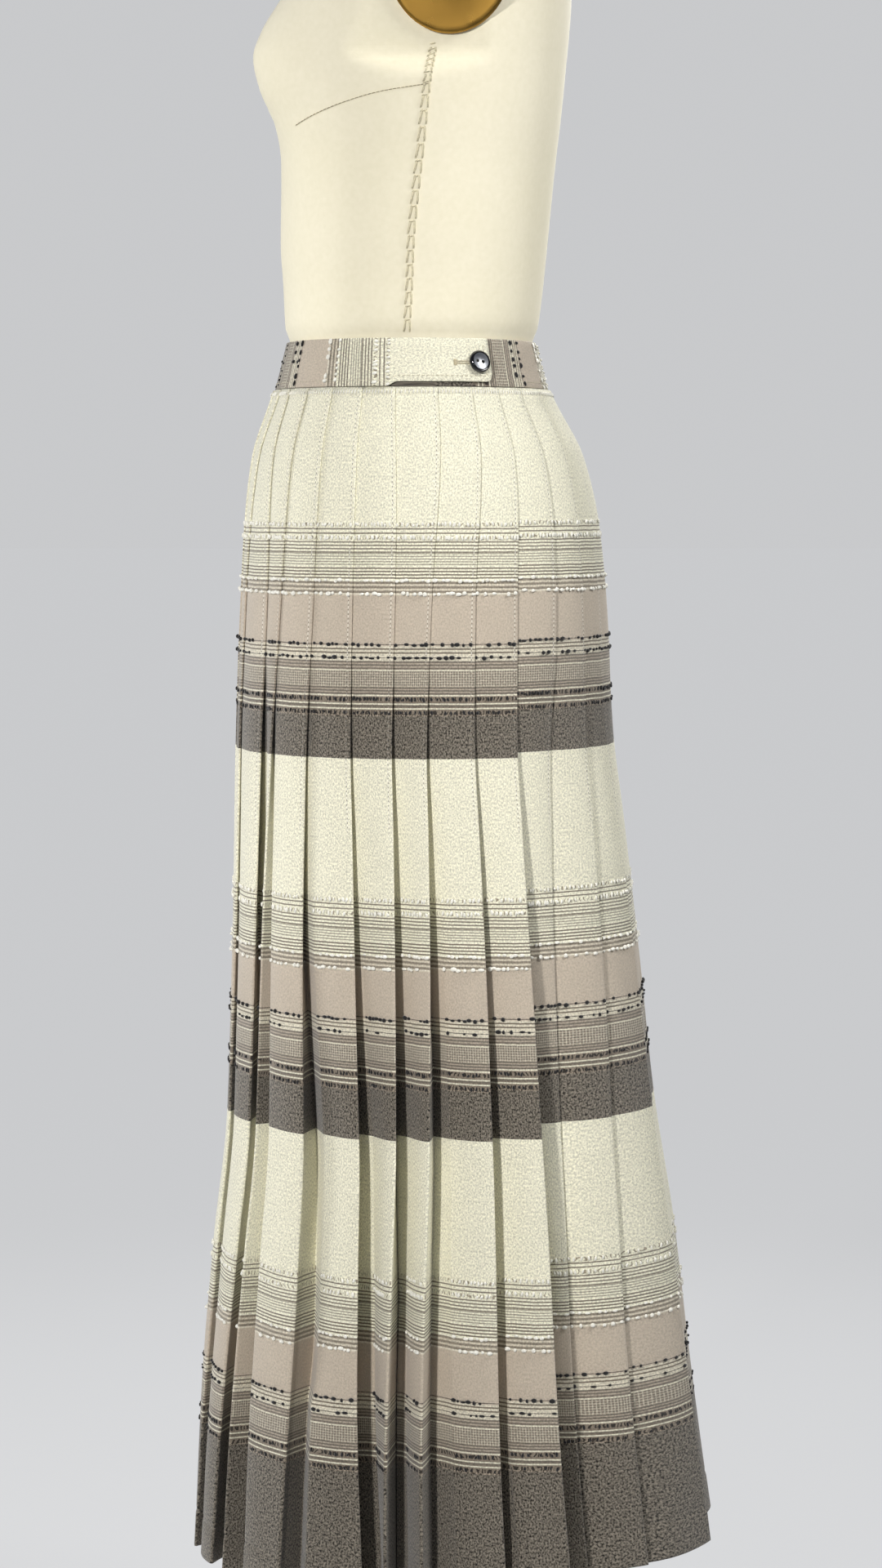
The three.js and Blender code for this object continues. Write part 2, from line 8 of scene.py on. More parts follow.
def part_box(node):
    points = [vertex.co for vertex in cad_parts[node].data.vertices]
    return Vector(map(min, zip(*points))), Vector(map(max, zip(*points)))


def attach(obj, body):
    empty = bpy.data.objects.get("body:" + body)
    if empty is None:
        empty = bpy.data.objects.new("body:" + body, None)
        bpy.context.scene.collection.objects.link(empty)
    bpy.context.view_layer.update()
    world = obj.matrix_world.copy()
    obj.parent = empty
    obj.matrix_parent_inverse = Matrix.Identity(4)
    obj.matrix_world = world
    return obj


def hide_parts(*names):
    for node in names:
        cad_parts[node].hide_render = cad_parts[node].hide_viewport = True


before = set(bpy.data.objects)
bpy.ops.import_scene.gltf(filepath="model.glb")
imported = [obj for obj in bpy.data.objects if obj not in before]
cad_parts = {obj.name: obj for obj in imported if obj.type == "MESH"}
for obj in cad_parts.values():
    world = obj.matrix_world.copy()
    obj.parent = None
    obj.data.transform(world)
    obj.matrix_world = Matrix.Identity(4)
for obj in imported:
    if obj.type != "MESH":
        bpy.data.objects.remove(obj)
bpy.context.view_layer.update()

mm = 0.001
tau = 2 * math.pi
upward = Vector((0, 0, 1))

# The stand's pole fixes where the form's own axis is, seen from above
poleLow, poleHigh = (Vector(corner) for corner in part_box("stand_pole"))
poleBehindAxis = 5
axisX = (poleLow.x + poleHigh.x) / 2
axisY = (poleLow.y + poleHigh.y) / 2 - poleBehindAxis * mm


def place(x, y, z):  # millimetres from the form's axis and the floor
    return Vector((axisX + x * mm, axisY + y * mm, z * mm))


# Outlines, the same ones as the solids: half sizes from the form's axis, in millimetres

skirt = {
    "waistHeight": 1045,
    "bandWidth": 35,
    "bandGap": 0.3,
    "length": 893,
    "wall": 0.8,
    "pleats": 28,
    "firstFold": -8.5,
    "rightSeam": 14,
    "panelWidth": 35,
    "underlayCloth": 62,
    # cloth in the turn of a fold and in one layer of the underlay
    "foldCloth": 2,
    "layerCloth": 28,
    "foldDepth": 0.6,
    "mostLean": 30,
    "innerBow": 1.5,
    "stitchedTo": 230,
    "freeFrom": 860,
    "openingCurve": 0.8,
    # how the underlay swings, in degrees, and the gap beside the fold edge that gives the full swing
    "underlayDroop": 5,
    "underlaySwing": 50,
    "swingGap": 18,
    "mostSwing": 80,
    "underlayShare": 0.8,
    "leastUnderlay": 5,
    # soft waves of all layers: fineness across and down, size where the pleats are closed and what opening adds
    "sway": {"across": 0.013, "down": 0.0042, "closed": 0.3, "opened": 3.2},
    "bulge": {"closed": 0.5, "opened": 1.4, "lively": 1.8, "twist": 1.6},
    "hem": {"thicker": 0.35, "rise": 4, "line": 0.55, "lineWidth": 1.6},
    "hemAllowance": 26,
    "seamAllowance": 9,
    "seamApart": 0.56,
    "levelStep": 8.4,
    "squareness": 2.2,
    "closedStep": 0.95,
    "openStep": 1.9,
    "outline": [  # drop, front, back, side
        (0, 98.9, 88.9, 118), (35, 107.8, 98.4, 127), (85, 124.1, 123.3, 147), (133, 129.6, 134.6, 160),
        (194, 132.8, 140.8, 170), (291, 136.7, 146.3, 176), (353, 138.1, 154, 180), (476, 141, 168.2, 187),
        (569, 143, 178.3, 193), (662, 152, 191.7, 200), (788, 163.6, 206.9, 210), (893, 170.4, 220.7, 220),
    ],
    "underlay": [(35, 17), (85, 21), (200, 25), (500, 28), (893, 30)],
    "foldDrops": (37, 190, 450, 720, 893),
    # turn in degrees at the five drops above, then gap, out and rise at the hem in millimetres
    "folds": [
        (2, 0, -2.5, -5, -6, 10, 0, 0), (6, -2, -6, -10, -11, 23, 0, 0),
        (7, -1.7, -4, -6, -6.3, 12, 2, 0), (5.5, -1.4, -4.6, -6, -5.6, 0, 5, 0),
        (4, -0.5, -7, -10, -10, 0, -24, 12), (4, 0, -4, -9.5, -9.7, 3, -6, 12),
        (3, 0, -1, -2, -1, 6, 6, 12), (2, 1, 2, 1, 2, 4, -4, 11),
        (1, 0, 1, 3, 4, 12, 3, 10), (0, 0, -1, -1, -2, 2, -8, 9),
        (0, -1, -2, -3, -3, 9, 0, 8), (-1, 0, 1, 2, 3, 14, 4, 6),
        (-2, 0, 2, 3, 2, 5, -3, 5), (-2, 1, 0, -2, -3, 0, -10, 4),
        (-2, 0, -1, -3, -4, 12, 2, 3), (-3, 0, 1, 2, 3, 16, 5, 2),
        (-4, 1, 3, 4, 5, 7, -6, 1), (-4, 0, 1, 1, 0, 3, -2, 0),
        (-3, -1, -2, -4, -4, 14, 3, 0), (-2, 0, 0, 1, 2, 18, 4, 0),
        (-1, 0, 2, 4, 5, 6, -5, 0), (1, 0, 0, 0, 0, 10, 0, 0),
        (3, 1, -1, -2, -3, 8, -3, 0), (6, 1.5, 0, -2, -2, 12, 2, 0),
        (3, 6, 2.5, -1, -2, 4, 0, 0), (2.4, 0, -6, -9, -9, 19, 0, 0),
        (1.8, 0, -3, -2.5, -3.9, 22, 2, 0), (1.7, 0, -0.5, 0.5, 2, 8, 0, 0),
    ],
}
skirtTop = skirt["bandWidth"] + skirt["bandGap"]
clothPerPleat = skirt["panelWidth"] + skirt["underlayCloth"]


def smooth(low, high, x):
    t = min(1, max(0, (x - low) / (high - low)))
    return t * t * (3 - 2 * t)


def column(rows, key, at):  # a smooth curve through one column of a table, with no overshoot
    last = len(rows) - 1
    if at <= rows[0][0]:
        return rows[0][key]
    if at >= rows[last][0]:
        return rows[last][key]
    i = 0
    while rows[i + 1][0] < at:
        i += 1

    def rise(j):
        return (rows[j + 1][key] - rows[j][key]) / (rows[j + 1][0] - rows[j][0])

    def slope(j):
        before, after = rise(max(0, j - 1)), rise(min(last - 1, j))
        return 0 if before * after <= 0 else 2 * before * after / (before + after)

    span = rows[i + 1][0] - rows[i][0]
    t = (at - rows[i][0]) / span
    a, b = rows[i][key], rows[i + 1][key]
    bend = slope(i) * t * (1 - t) ** 2 - slope(i + 1) * t * t * (1 - t)
    return a + (b - a) * t * t * (3 - 2 * t) + span * bend


def onOval(size, angle, squareness):  # 0 is the wearer's left, a quarter turn is the back
    front, back, side = size
    c, s = math.cos(angle), math.sin(angle)
    reach = (abs(c) ** squareness + abs(s) ** squareness) ** (-1 / squareness)
    return Vector((side * c * reach, (back - front) / 2 + (back + front) / 2 * s * reach))


def clothSize(drop):
    return [column(skirt["outline"], key, drop) for key in (1, 2, 3)]


def onCloth(size, angle):
    return onOval(size, angle, skirt["squareness"])


def outlineRun(size, angle):
    step = 0.02
    return (onCloth(size, angle + step) - onCloth(size, angle - step)) / (2 * step)


def outlineNormal(size, angle):  # into the form
    run = outlineRun(size, angle).normalized()
    return Vector((-run.y, run.x))


def under(size, angle, depth):  # a point at an angle, so deep below the cloth's outline
    return onCloth(size, angle) + outlineNormal(size, angle) * depth


foldTurns = [list(zip(skirt["foldDrops"], fold[:5])) for fold in skirt["folds"]]


def foldAngle(index, drop):
    even = skirt["firstFold"] + index * 360 / skirt["pleats"]
    return math.radians(even + column(foldTurns[index % skirt["pleats"]], 1, drop))


def foldAtHem(index):  # gap, out and rise
    return skirt["folds"][index % skirt["pleats"]][5:]


def openness(drop):  # 0 where the pleats are stitched down, 1 where they hang free
    free = (drop - skirt["stitchedTo"]) / (skirt["freeFrom"] - skirt["stitchedTo"])
    return min(1, max(0, free)) ** skirt["openingCurve"]


def layerStep(drop):
    return skirt["closedStep"] + (skirt["openStep"] - skirt["closedStep"]) * openness(drop)


def foldSurface(index, opened):
    return skirt["foldDepth"] - foldAtHem(index)[1] * opened


def panelFrom(index, drop, size, opened, shift):
    before = foldAngle(index - 1, drop)
    gap = foldAtHem(index - 1)[0] * opened
    start = before + (gap + shift) / outlineRun(size, before).length
    chord = (under(size, foldAngle(index, drop), 0) - under(size, start, 0)).length
    lean = min(skirt["mostLean"], math.sqrt(max(0, skirt["panelWidth"] ** 2 - chord ** 2)))
    seated = foldSurface(index - 1, opened) + 2 * layerStep(drop)
    surface = foldSurface(index, opened)
    depth = seated + opened * max(0, surface + lean - seated)
    return {"start": start, "chord": chord, "depth": depth, "slope": math.atan2(depth - surface, chord)}


def panelAt(index, drop, size, opened):
    before = panelFrom(index - 1, drop, size, opened, 0)
    return panelFrom(index, drop, size, opened, 2 * layerStep(drop) * math.sin(before["slope"]))


def pleatAt(index, drop):  # everything that one pleat's line needs at one drop
    size = clothSize(drop)
    opened = openness(drop)
    face = panelAt(index, drop, size, opened)
    after = panelAt(index + 1, drop, size, opened)
    gap, _, rise = foldAtHem(index)
    gap *= opened
    surface = foldSurface(index, opened)
    angle = foldAngle(index, drop)
    most, droop, wide = (math.radians(skirt[key]) for key in ("mostSwing", "underlayDroop", "underlaySwing"))
    swing = min(most, face["slope"] + droop + wide * min(1, gap / skirt["swingGap"]))
    width = math.hypot(face["chord"], face["depth"] - surface)
    reach = min(column(skirt["underlay"], 1, drop), width * skirt["underlayShare"])
    half = math.hypot(gap, after["depth"] - surface) / 2
    return {
        "size": size, "angle": angle, "surface": surface, "face": face, "after": after, "gap": gap,
        "scale": face["chord"] / (angle - face["start"]), "swing": swing, "opened": opened, "drop": drop,
        "length": math.sqrt(max(skirt["leastUnderlay"] ** 2, reach ** 2 - half ** 2)),
        "step": layerStep(drop),
        "height": skirt["waistHeight"] - drop + rise * (drop - skirtTop) / (skirt["length"] - skirtTop),
    }


def sway(pleat, point):  # long soft waves that move all layers together
    waves = skirt["sway"]
    at = Vector((point.x * waves["across"], point.y * waves["across"], pleat["drop"] * waves["down"]))
    return noise.noise(at) * (waves["closed"] + waves["opened"] * pleat["opened"])


def panelBulge(index, pleat, t):
    fold, size = index % skirt["pleats"], skirt["bulge"]
    lively = noise.noise(Vector((fold * 3.7, pleat["drop"] * 0.006, 1.5)))
    bulge = size["closed"] + pleat["opened"] * (size["opened"] + size["lively"] * lively)
    twist = pleat["opened"] * size["twist"] * noise.noise(Vector((fold * 5.1, pleat["drop"] * 0.009, 8.5)))
    return bulge * 4 * t * (1 - t) + twist * math.sin(tau * t)


def swayed(pleat, angle, depth):
    point = under(pleat["size"], angle, depth)
    return point - outlineNormal(pleat["size"], angle) * sway(pleat, point)


def facePoint(index, pleat, t):  # t runs from the panel's start, 0, to its fold edge, 1
    face = pleat["face"]
    angle = face["start"] + (pleat["angle"] - face["start"]) * t
    depth = face["depth"] + (pleat["surface"] - face["depth"]) * t - panelBulge(index, pleat, t)
    return swayed(pleat, angle, depth)


def pleatPoints(index, pleat, end=""):  # panel, fold edge, underlay, inner fold, with places on the cloth
    step, surface, width = pleat["step"], pleat["surface"], skirt["panelWidth"]
    turned, layer = skirt["foldCloth"], skirt["layerCloth"]
    slope, swing = pleat["face"]["slope"], pleat["swing"]
    fold = Vector((0, surface))
    inwardFold = Vector((math.sin(slope), math.cos(slope)))
    alongFace = Vector((math.cos(slope), -math.sin(slope)))
    inwardInner = Vector((math.sin(swing), math.cos(swing)))
    awayInner = Vector((-math.cos(swing), math.sin(swing)))
    inner = Vector((pleat["gap"] / 2, (surface + pleat["after"]["depth"]) / 2)) + awayInner * pleat["length"]

    def local(v):
        return swayed(pleat, pleat["angle"] + v.x / pleat["scale"], v.y)

    def roundFold(middle, inward, away, turns, across):  # the half turn of the cloth at a fold
        for a in turns:
            turn = math.radians(a)
            v = middle - inward * math.cos(turn) * step / 2 + away * math.sin(turn) * step / 2
            points.append((local(v), across + turned * a / 180))

    points = []
    for t in (0, 0.04, 0.14, 0.26, 0.38, 0.5, 0.62, 0.74, 0.86, 0.95):
        points.append((facePoint(index, pleat, t), width * t))
    roundFold(fold + inwardFold * step / 2, inwardFold, alongFace, (0, 50, 90, 130, 180), width)
    tuck = fold + inwardFold * step
    for t in (0.3, 0.65):
        points.append((local(tuck.lerp(inner - inwardInner * step / 2, t)), width + turned + layer * t))
    innerAcross = width + turned + layer
    roundFold(inner, inwardInner, awayInner, (0, 90, 180), innerAcross)
    nextStart = Vector((pleat["gap"] + 2 * step * math.sin(slope), pleat["after"]["depth"]))
    for t in (0.3, 0.6, 0.82, 0.95):
        bow = Vector((0, skirt["innerBow"] * pleat["opened"] * math.sin(math.pi * t)))
        point = local((inner + inwardInner * step / 2).lerp(nextStart, t) + bow)
        points.append((point, innerAcross + turned + layer * t))
    # at a side seam the two cloth ends go on as seam allowances, face to face
    allowance = skirt["seamAllowance"]
    apart = inwardInner * skirt["wall"] * skirt["seamApart"]
    if end == "first":
        return [(local(inner + awayInner * allowance + apart), innerAcross + turned - allowance)] + points[-5:]
    if end == "last":
        return points[:-6] + [(local(inner + awayInner * allowance - apart), innerAcross + allowance)]
    return points


def hemShape(drop):  # the turned-up hem is a little thicker, with a shallow line where it is sewn
    seam, hem = skirt["length"] - skirt["hemAllowance"], skirt["hem"]
    line = hem["line"] * math.exp(-((drop - seam) / hem["lineWidth"]) ** 2)
    return hem["thicker"] * smooth(seam, seam + hem["rise"], drop) - line


# Materials: small helpers that write node trees

class Value:  # a node's output that can stand in sums
    def __init__(self, tree, socket):
        self.tree, self.socket = tree, socket

    def math(self, operation, *others):
        node = self.tree.nodes.new("ShaderNodeMath")
        node.operation = operation
        for socket, value in zip(node.inputs, (self, *others)):
            feed(socket, value)
        return Value(self.tree, node.outputs[0])

    def __add__(self, other):
        return self.math("ADD", other)

    def __sub__(self, other):
        return self.math("SUBTRACT", other)

    def __rsub__(self, other):
        return self * -1.0 + other

    def __mul__(self, other):
        return self.math("MULTIPLY", other)

    def __truediv__(self, other):
        return self.math("DIVIDE", other)

    def __gt__(self, other):
        return self.math("GREATER_THAN", other)

    def __lt__(self, other):
        return self.math("LESS_THAN", other)


def feed(socket, value):
    if isinstance(value, Value):
        value.tree.links.new(value.socket, socket)
    else:
        socket.default_value = value


def settle(node, values):  # what each named socket of a node gets
    for label, value in values.items():
        feed(node.inputs[label], value)


def newMaterial(name):
    material = bpy.data.materials.new(name)
    material.use_nodes = True
    tree = material.node_tree
    return material, tree, tree.nodes["Principled BSDF"]


def blendColor(factor, a, b):
    node = factor.tree.nodes.new("ShaderNodeMix")
    node.data_type = "RGBA"
    for index, value in ((0, factor), (6, a), (7, b)):
        feed(node.inputs[index], value)
    return Value(factor.tree, node.outputs[2])


def noiseAt(vector, scale, detail=2.0, rough=0.5):
    node = vector.tree.nodes.new("ShaderNodeTexNoise")
    settle(node, {"Vector": vector, "Scale": scale, "Detail": detail, "Roughness": rough})
    return Value(vector.tree, node.outputs["Fac"])


def combine(x, y, z=0.0):
    node = x.tree.nodes.new("ShaderNodeCombineXYZ")
    settle(node, {"X": x, "Y": y, "Z": z})
    return Value(x.tree, node.outputs[0])


def split(vector):
    node = vector.tree.nodes.new("ShaderNodeSeparateXYZ")
    feed(node.inputs[0], vector)
    return [Value(vector.tree, socket) for socket in node.outputs]


def ranged(value, low, high, toLow=0.0, toHigh=1.0):
    node = value.tree.nodes.new("ShaderNodeMapRange")
    for socket, given in zip(node.inputs, (value, low, high, toLow, toHigh)):
        feed(socket, given)
    return Value(value.tree, node.outputs[0])


def addBump(shader, height, strength, distance):
    bump = height.tree.nodes.new("ShaderNodeBump")
    settle(bump, {"Strength": strength, "Distance": distance, "Height": height})
    feed(shader.inputs["Normal"], Value(height.tree, bump.outputs[0]))


def newGroup(name, inputs, outputs):
    tree = bpy.data.node_groups.new(name, "ShaderNodeTree")
    for label in inputs:
        tree.interface.new_socket(name=label, in_out="INPUT", socket_type="NodeSocketFloat")
    for label, kind in outputs.items():
        tree.interface.new_socket(name=label, in_out="OUTPUT", socket_type=kind)
    given = tree.nodes.new("NodeGroupInput").outputs
    return tree, [Value(tree, given[label]) for label in inputs], tree.nodes.new("NodeGroupOutput")


def useGroup(group, tree, **values):
    node = tree.nodes.new("ShaderNodeGroup")
    node.node_tree = group
    settle(node, values)
    return {socket.name: Value(tree, socket) for socket in node.outputs}


def objectPlace(tree):
    return Value(tree, tree.nodes.new("ShaderNodeTexCoord").outputs["Object"])


def clothPlace(tree):  # the cloth's own two coordinates, kept as a UV map in metres, here in millimetres
    node = tree.nodes.new("ShaderNodeUVMap")
    node.uv_map = "cloth"
    across, down, _ = split(Value(tree, node.outputs[0]))
    return across * 1000.0, down * 1000.0


def linear(hexColor):  # a colour as seen on screen, as the shader wants it
    channels = [int(hexColor[i:i + 2], 16) / 255 for i in (0, 2, 4)]
    return tuple(c / 12.92 if c <= 0.04045 else ((c + 0.055) / 1.055) ** 2.4 for c in channels) + (1,)


def darker(color, share):
    return tuple(c * share for c in color[:3]) + (1,)


wool = {
    "cream": linear("E3E0CA"),
    "taupe": linear("BDB1A0"),
    "charcoal": linear("6A645A"),
    "darkYarn": linear("6A6053"),
    "slubCream": linear("FFFDF2"),
    "slubBlack": linear("141213"),
    # painted shade for the hollows between the cream loops, not a yarn
    "paintedLoopShade": linear("857A68"),
    "repeatStarts": (32.9, 297.6, 566.5),
    "repeat": 268,
    "lastEdge": 250,
    "yarn": 1.15,
    # grounds of the stripes: first row, then two yarns and the share of the second
    "grounds": [
        (0, "cream", "cream", 0), (139.9, "cream", "taupe", 2 / 3), (149.3, "taupe", "taupe", 0),
        (184.9, "cream", "taupe", 1 / 2), (195.2, "taupe", "darkYarn", 1 / 3),
        (220.8, "taupe", "darkYarn", 4 / 5), (234.4, "charcoal", "charcoal", 0),
    ],
    # rows of thread: first row, spacing, how many, width, which yarn, how strongly it covers
    "threads": [
        (103, 3.1, 2, 1.0, "darkYarn", 0.85), (112.3, 2.37, 4, 1.0, "darkYarn", 0.85),
        (120.4, 1.9, 5, 0.95, "darkYarn", 0.6), (130.7, 2.27, 4, 1.05, "darkYarn", 0.9),
        (140.8, 3.2, 3, 1.7, "darkYarn", 0.75), (187.3, 2.7, 2, 1.1, "darkYarn", 0.9),
        (196.4, 2.25, 3, 1.2, "charcoal", 0.85), (203.4, 1.8, 6, 1.0, "charcoal", 0.8),
        (214.6, 2.05, 3, 1.2, "charcoal", 0.9), (227.5, 2, 1, 1.1, "charcoal", 0.9),
        (202.3, 17.7, 2, 0.9, "cream", 0.75), (226, 3.3, 2, 1.0, "cream", 0.8),
        (139.4, 9.3, 2, 0.7, "slubCream", 0.3), (184.2, 9.2, 2, 0.7, "slubBlack", 0.7),
    ],
    # bands of short loops between two rows: middle, spacing, how many, width, colour, how the ticks fade in
    "loops": [
        (100, 9.3, 2, 3.0, "paintedLoopShade", (0.72, 0.9)), (222.6, 9.6, 2, 3.2, "slubBlack", (0.5, 0.75)),
    ],
    "tickSpacing": 3.3,
    "crossed": (203, 214),  # rows where pale threads cross the dark ones
    "crossSpacing": 2.1,
    "plainTaupe": (149, 185),
    "melangeFrom": 233,
}


def buildThreadRows():  # mask of evenly spaced thread rows, for every striped cloth
    labels = ("Pattern", "First", "Spacing", "Count", "Width")
    tree, given, made = newGroup("threadRows", labels, {"Mask": "NodeSocketFloat"})
    pattern, first, spacing, count, width = given
    fromFirst = pattern - first
    row = (fromFirst / spacing).math("ROUND").math("MINIMUM", count - 1.0).math("MAXIMUM", 0.0)
    settle(made, {"Mask": (fromFirst - row * spacing).math("ABSOLUTE") < width * 0.5})
    return tree


threadRows = buildThreadRows()


def rowMask(pattern, first, spacing, count, width):
    return useGroup(
        threadRows, pattern.tree, Pattern=pattern, First=first, Spacing=spacing, Count=count, Width=width,
    )["Mask"]


def stripeGround(pattern):
    zones = pattern.tree.nodes.new("ShaderNodeValToRGB")
    zones.color_ramp.interpolation = "CONSTANT"
    ramp = zones.color_ramp.elements
    for i, (first, yarn, other, share) in enumerate(wool["grounds"]):
        stop = ramp[i] if i < 2 else ramp.new(first / wool["repeat"])
        stop.position = first / wool["repeat"]
        stop.color = [a + (b - a) * share for a, b in zip(wool[yarn], wool[other])]
    feed(zones.inputs[0], pattern / wool["repeat"])
    return Value(pattern.tree, zones.outputs[0])


def wave(value, length):
    return (value * (tau / length)).math("SINE")


def buildWoolStripes():  # the striped wool from its own coordinates, in millimetres
    outputs = {"Color": "NodeSocketColor", "Height": "NodeSocketFloat", "Rough": "NodeSocketFloat"}
    tree, given, made = newGroup("woolStripes", ("Pattern", "Down", "Across"), outputs)
    plain, down, across = given
    cloth = combine(across, down)
    pattern = plain + ranged(noiseAt(combine(across, 3.0), 0.045, 3), 0, 1, -0.55, 0.55)
    color = stripeGround(pattern)

    uneven = noiseAt(combine(across, down * 0.2), 0.5, 3, 0.6)
    raised = 0.0
    for first, spacing, count, width, yarn, cover in wool["threads"]:
        slub = yarn.startswith("slub")
        wide = ranged(uneven, 0.3, 0.7, 0.35, 1.5) * width if slub else width
        mask = rowMask(pattern, first, spacing, count, wide)
        color = blendColor(mask * cover, color, wool[yarn])
        if slub:
            raised = mask + raised
    # where the two colours mix, pale threads cross the dark rows
    low, high = wool["crossed"]
    crossing = ranged(wave(across, wool["crossSpacing"]), 0, 1, 0, 0.4)
    color = blendColor((pattern > low) * (pattern < high) * crossing, color, wool["cream"])
    # the loops come at an uneven step, with a darker tick between two of them; between the cream loops that
    # tick is painted shade in the hollow
    wander = ranged(noiseAt(cloth, 0.11, 2), 0, 1, -6, 6)
    ticks = ranged(wave(across + wander, wool["tickSpacing"]), -1, 1)
    for middle, spacing, count, width, yarn, shown in wool["loops"]:
        mask = rowMask(pattern, middle, spacing, count, ranged(uneven, 0.3, 0.7, 0.6, 1.15) * width)
        color = blendColor(mask * ranged(ticks, *shown) * 0.85, color, wool[yarn])
        raised = mask * (1.0 - ticks) + raised

    # yarn, fibre and dye variation; the taupe is calm, the charcoal is a strong mix of dark and pale fibres
    weave = wave(across, wool["yarn"]) * wave(down, wool["yarn"])
    fleck = noiseAt(cloth, 0.95, 3, 0.65)
    tall = combine(across, down * 0.75)
    mottle = ranged(noiseAt(tall, 0.8, 3, 0.7), 0.37, 0.63, -1, 1)
    cloud = ranged(noiseAt(tall, 0.07, 2), 0.3, 0.7, -1, 1)
    low, high = wool["plainTaupe"]
    mottleRange = (pattern > wool["melangeFrom"]) * 0.75 + 0.3 - (pattern > low) * (pattern < high) * 0.15
    shade = mottle * mottleRange + (fleck - 0.5) * 0.3 + weave * 0.04 + cloud * 0.025
    bright = tree.nodes.new("ShaderNodeVectorMath")
    bright.operation = "SCALE"
    feed(bright.inputs[0], color)
    settle(bright, {"Scale": shade + 1.0})
    settle(made, {
        "Color": Value(tree, bright.outputs[0]),
        "Height": weave * 0.25 + fleck * 0.8 + raised * 0.9,
        "Rough": ranged(fleck, 0.3, 0.7, 0.82, 0.97),
    })
    return tree


woolStripes = buildWoolStripes()


def finishCloth(shader, stripes, color, height):
    settle(shader, {
        "Base Color": color, "Roughness": stripes["Rough"],
        "Sheen Weight": 0.25, "Sheen Roughness": 0.5, "Specular IOR Level": 0.2,
    })
    addBump(shader, height, 0.45, 0.0006)


# hole is the share of each stitch's length that is darkened as painted shade where the thread goes into the
# cloth
edgeStitch = {
    "inset": 2.2, "width": 0.7, "length": 3.2, "hole": 0.4, "endDrop": 345, "fade": 12,
    "cover": 0.5, "coverLostOnDark": 0.36, "darkFrom": 196, "pull": 1.3, "pucker": 0.6,
}


def makeSkirtCloth():
    material, tree, shader = newMaterial("skirtCloth")
    across, drop = clothPlace(tree)
    first, second, third = wool["repeatStarts"]
    pattern = drop - first - (drop > second) * (second - first) - (drop > third) * (third - second)
    pattern = pattern.math("MINIMUM", wool["lastEdge"])
    stripes = useGroup(woolStripes, tree, Pattern=pattern, Down=drop, Across=across)
    # edge stitching along each fold, down to where the pleats fall free
    within = across.math("MODULO", clothPerPleat)
    away = (within - (skirt["panelWidth"] - edgeStitch["inset"])).math("ABSOLUTE")
    sewn = ranged(drop, edgeStitch["endDrop"], edgeStitch["endDrop"] + edgeStitch["fade"], 1, 0)
    onLine = sewn * (away < edgeStitch["width"] / 2)
    along = (drop / edgeStitch["length"]).math("FRACT")
    cover = edgeStitch["cover"] - (pattern > edgeStitch["darkFrom"]) * edgeStitch["coverLostOnDark"]
    color = blendColor(onLine * (along > edgeStitch["hole"]) * cover, stripes["Color"], wool["slubCream"])
    # painted shade: a darker spot in each stitch hole, between the stitches
    color = blendColor(onLine * (along < edgeStitch["hole"]) * 0.75, color, wool["darkYarn"])
    pull = sewn * ranged(away, 0.3, 3.4, 1, 0)
    height = stripes["Height"] - pull * edgeStitch["pull"]
    height = height + pull * wave(drop, edgeStitch["length"]) * edgeStitch["pucker"]
    finishCloth(shader, stripes, color, height)
    return material


def makeBandCloth():
    material, tree, shader = newMaterial("waistbandCloth")
    along, across = clothPlace(tree)
    pattern = along.math("FLOORED_MODULO", wool["repeat"])
    stripes = useGroup(woolStripes, tree, Pattern=pattern, Down=along, Across=across)
    finishCloth(shader, stripes, stripes["Color"], stripes["Height"])
    return material


def yarnMaterial(name, color):
    material, tree, shader = newMaterial(name)
    fuzz = noiseAt(objectPlace(tree), 900, 3, 0.6)
    mixed = blendColor(ranged(fuzz, 0.3, 0.7), darker(color, 0.7), color)
    settle(shader, {"Base Color": mixed, "Roughness": 0.9, "Sheen Weight": 0.3})
    addBump(shader, fuzz, 0.5, 0.0004)
    return material


# Meshes

def circle(sides):  # cosine and sine of even turns
    return [(math.cos(tau * s / sides), math.sin(tau * s / sides)) for s in range(sides)]


class Heap:  # points and faces that grow into one piece
    def __init__(self):
        self.points, self.faces = [], []

    def addRings(self, rings):  # rings of points that follow each other; a ring of one point is a tip
        numbers = []
        for ring in rings:
            numbers.append(range(len(self.points), len(self.points) + len(ring)))
            self.points += ring
        for low, high in zip(numbers, numbers[1:]):
            sides = max(len(low), len(high))
            for s in range(sides):
                t = (s + 1) % sides
                if len(low) == 1:
                    self.faces.append((low[0], high[t], high[s]))
                elif len(high) == 1:
                    self.faces.append((low[s], low[t], high[0]))
                else:
                    self.faces.append((low[s], low[t], high[t], high[s]))
        if len(numbers[0]) > 1:
            self.faces.append(tuple(reversed(numbers[0])))
        if len(numbers[-1]) > 1:
            self.faces.append(tuple(numbers[-1]))

    def addBead(self, centre, along, up, out, length, tall, thick):  # a small soft lump of yarn
        section = [up * c * tall / 2 + out * s * thick / 2 for c, s in circle(6)]
        rings = [[centre - along * length / 2]]
        for a in (math.pi / 4, math.pi / 2, math.pi * 3 / 4):
            middle = centre - along * math.cos(a) * length / 2
            rings.append([middle + side * math.sin(a) for side in section])
        self.addRings(rings + [[centre + along * length / 2]])

    def addThread(self, a, b, out, width):  # one stitch: a small bowed thread from a to b
        side = (b - a).normalized().cross(out).normalized()
        rings = []
        for t, thick in ((0, 0.3), (0.25, 1), (0.75, 1), (1, 0.3)):
            middle = a.lerp(b, t) + out * width * (0.1 + 0.7 * math.sin(math.pi * t))
            rings.append([middle + (side * c + out * s) * width / 2 * thick for c, s in circle(5)])
        self.addRings(rings)


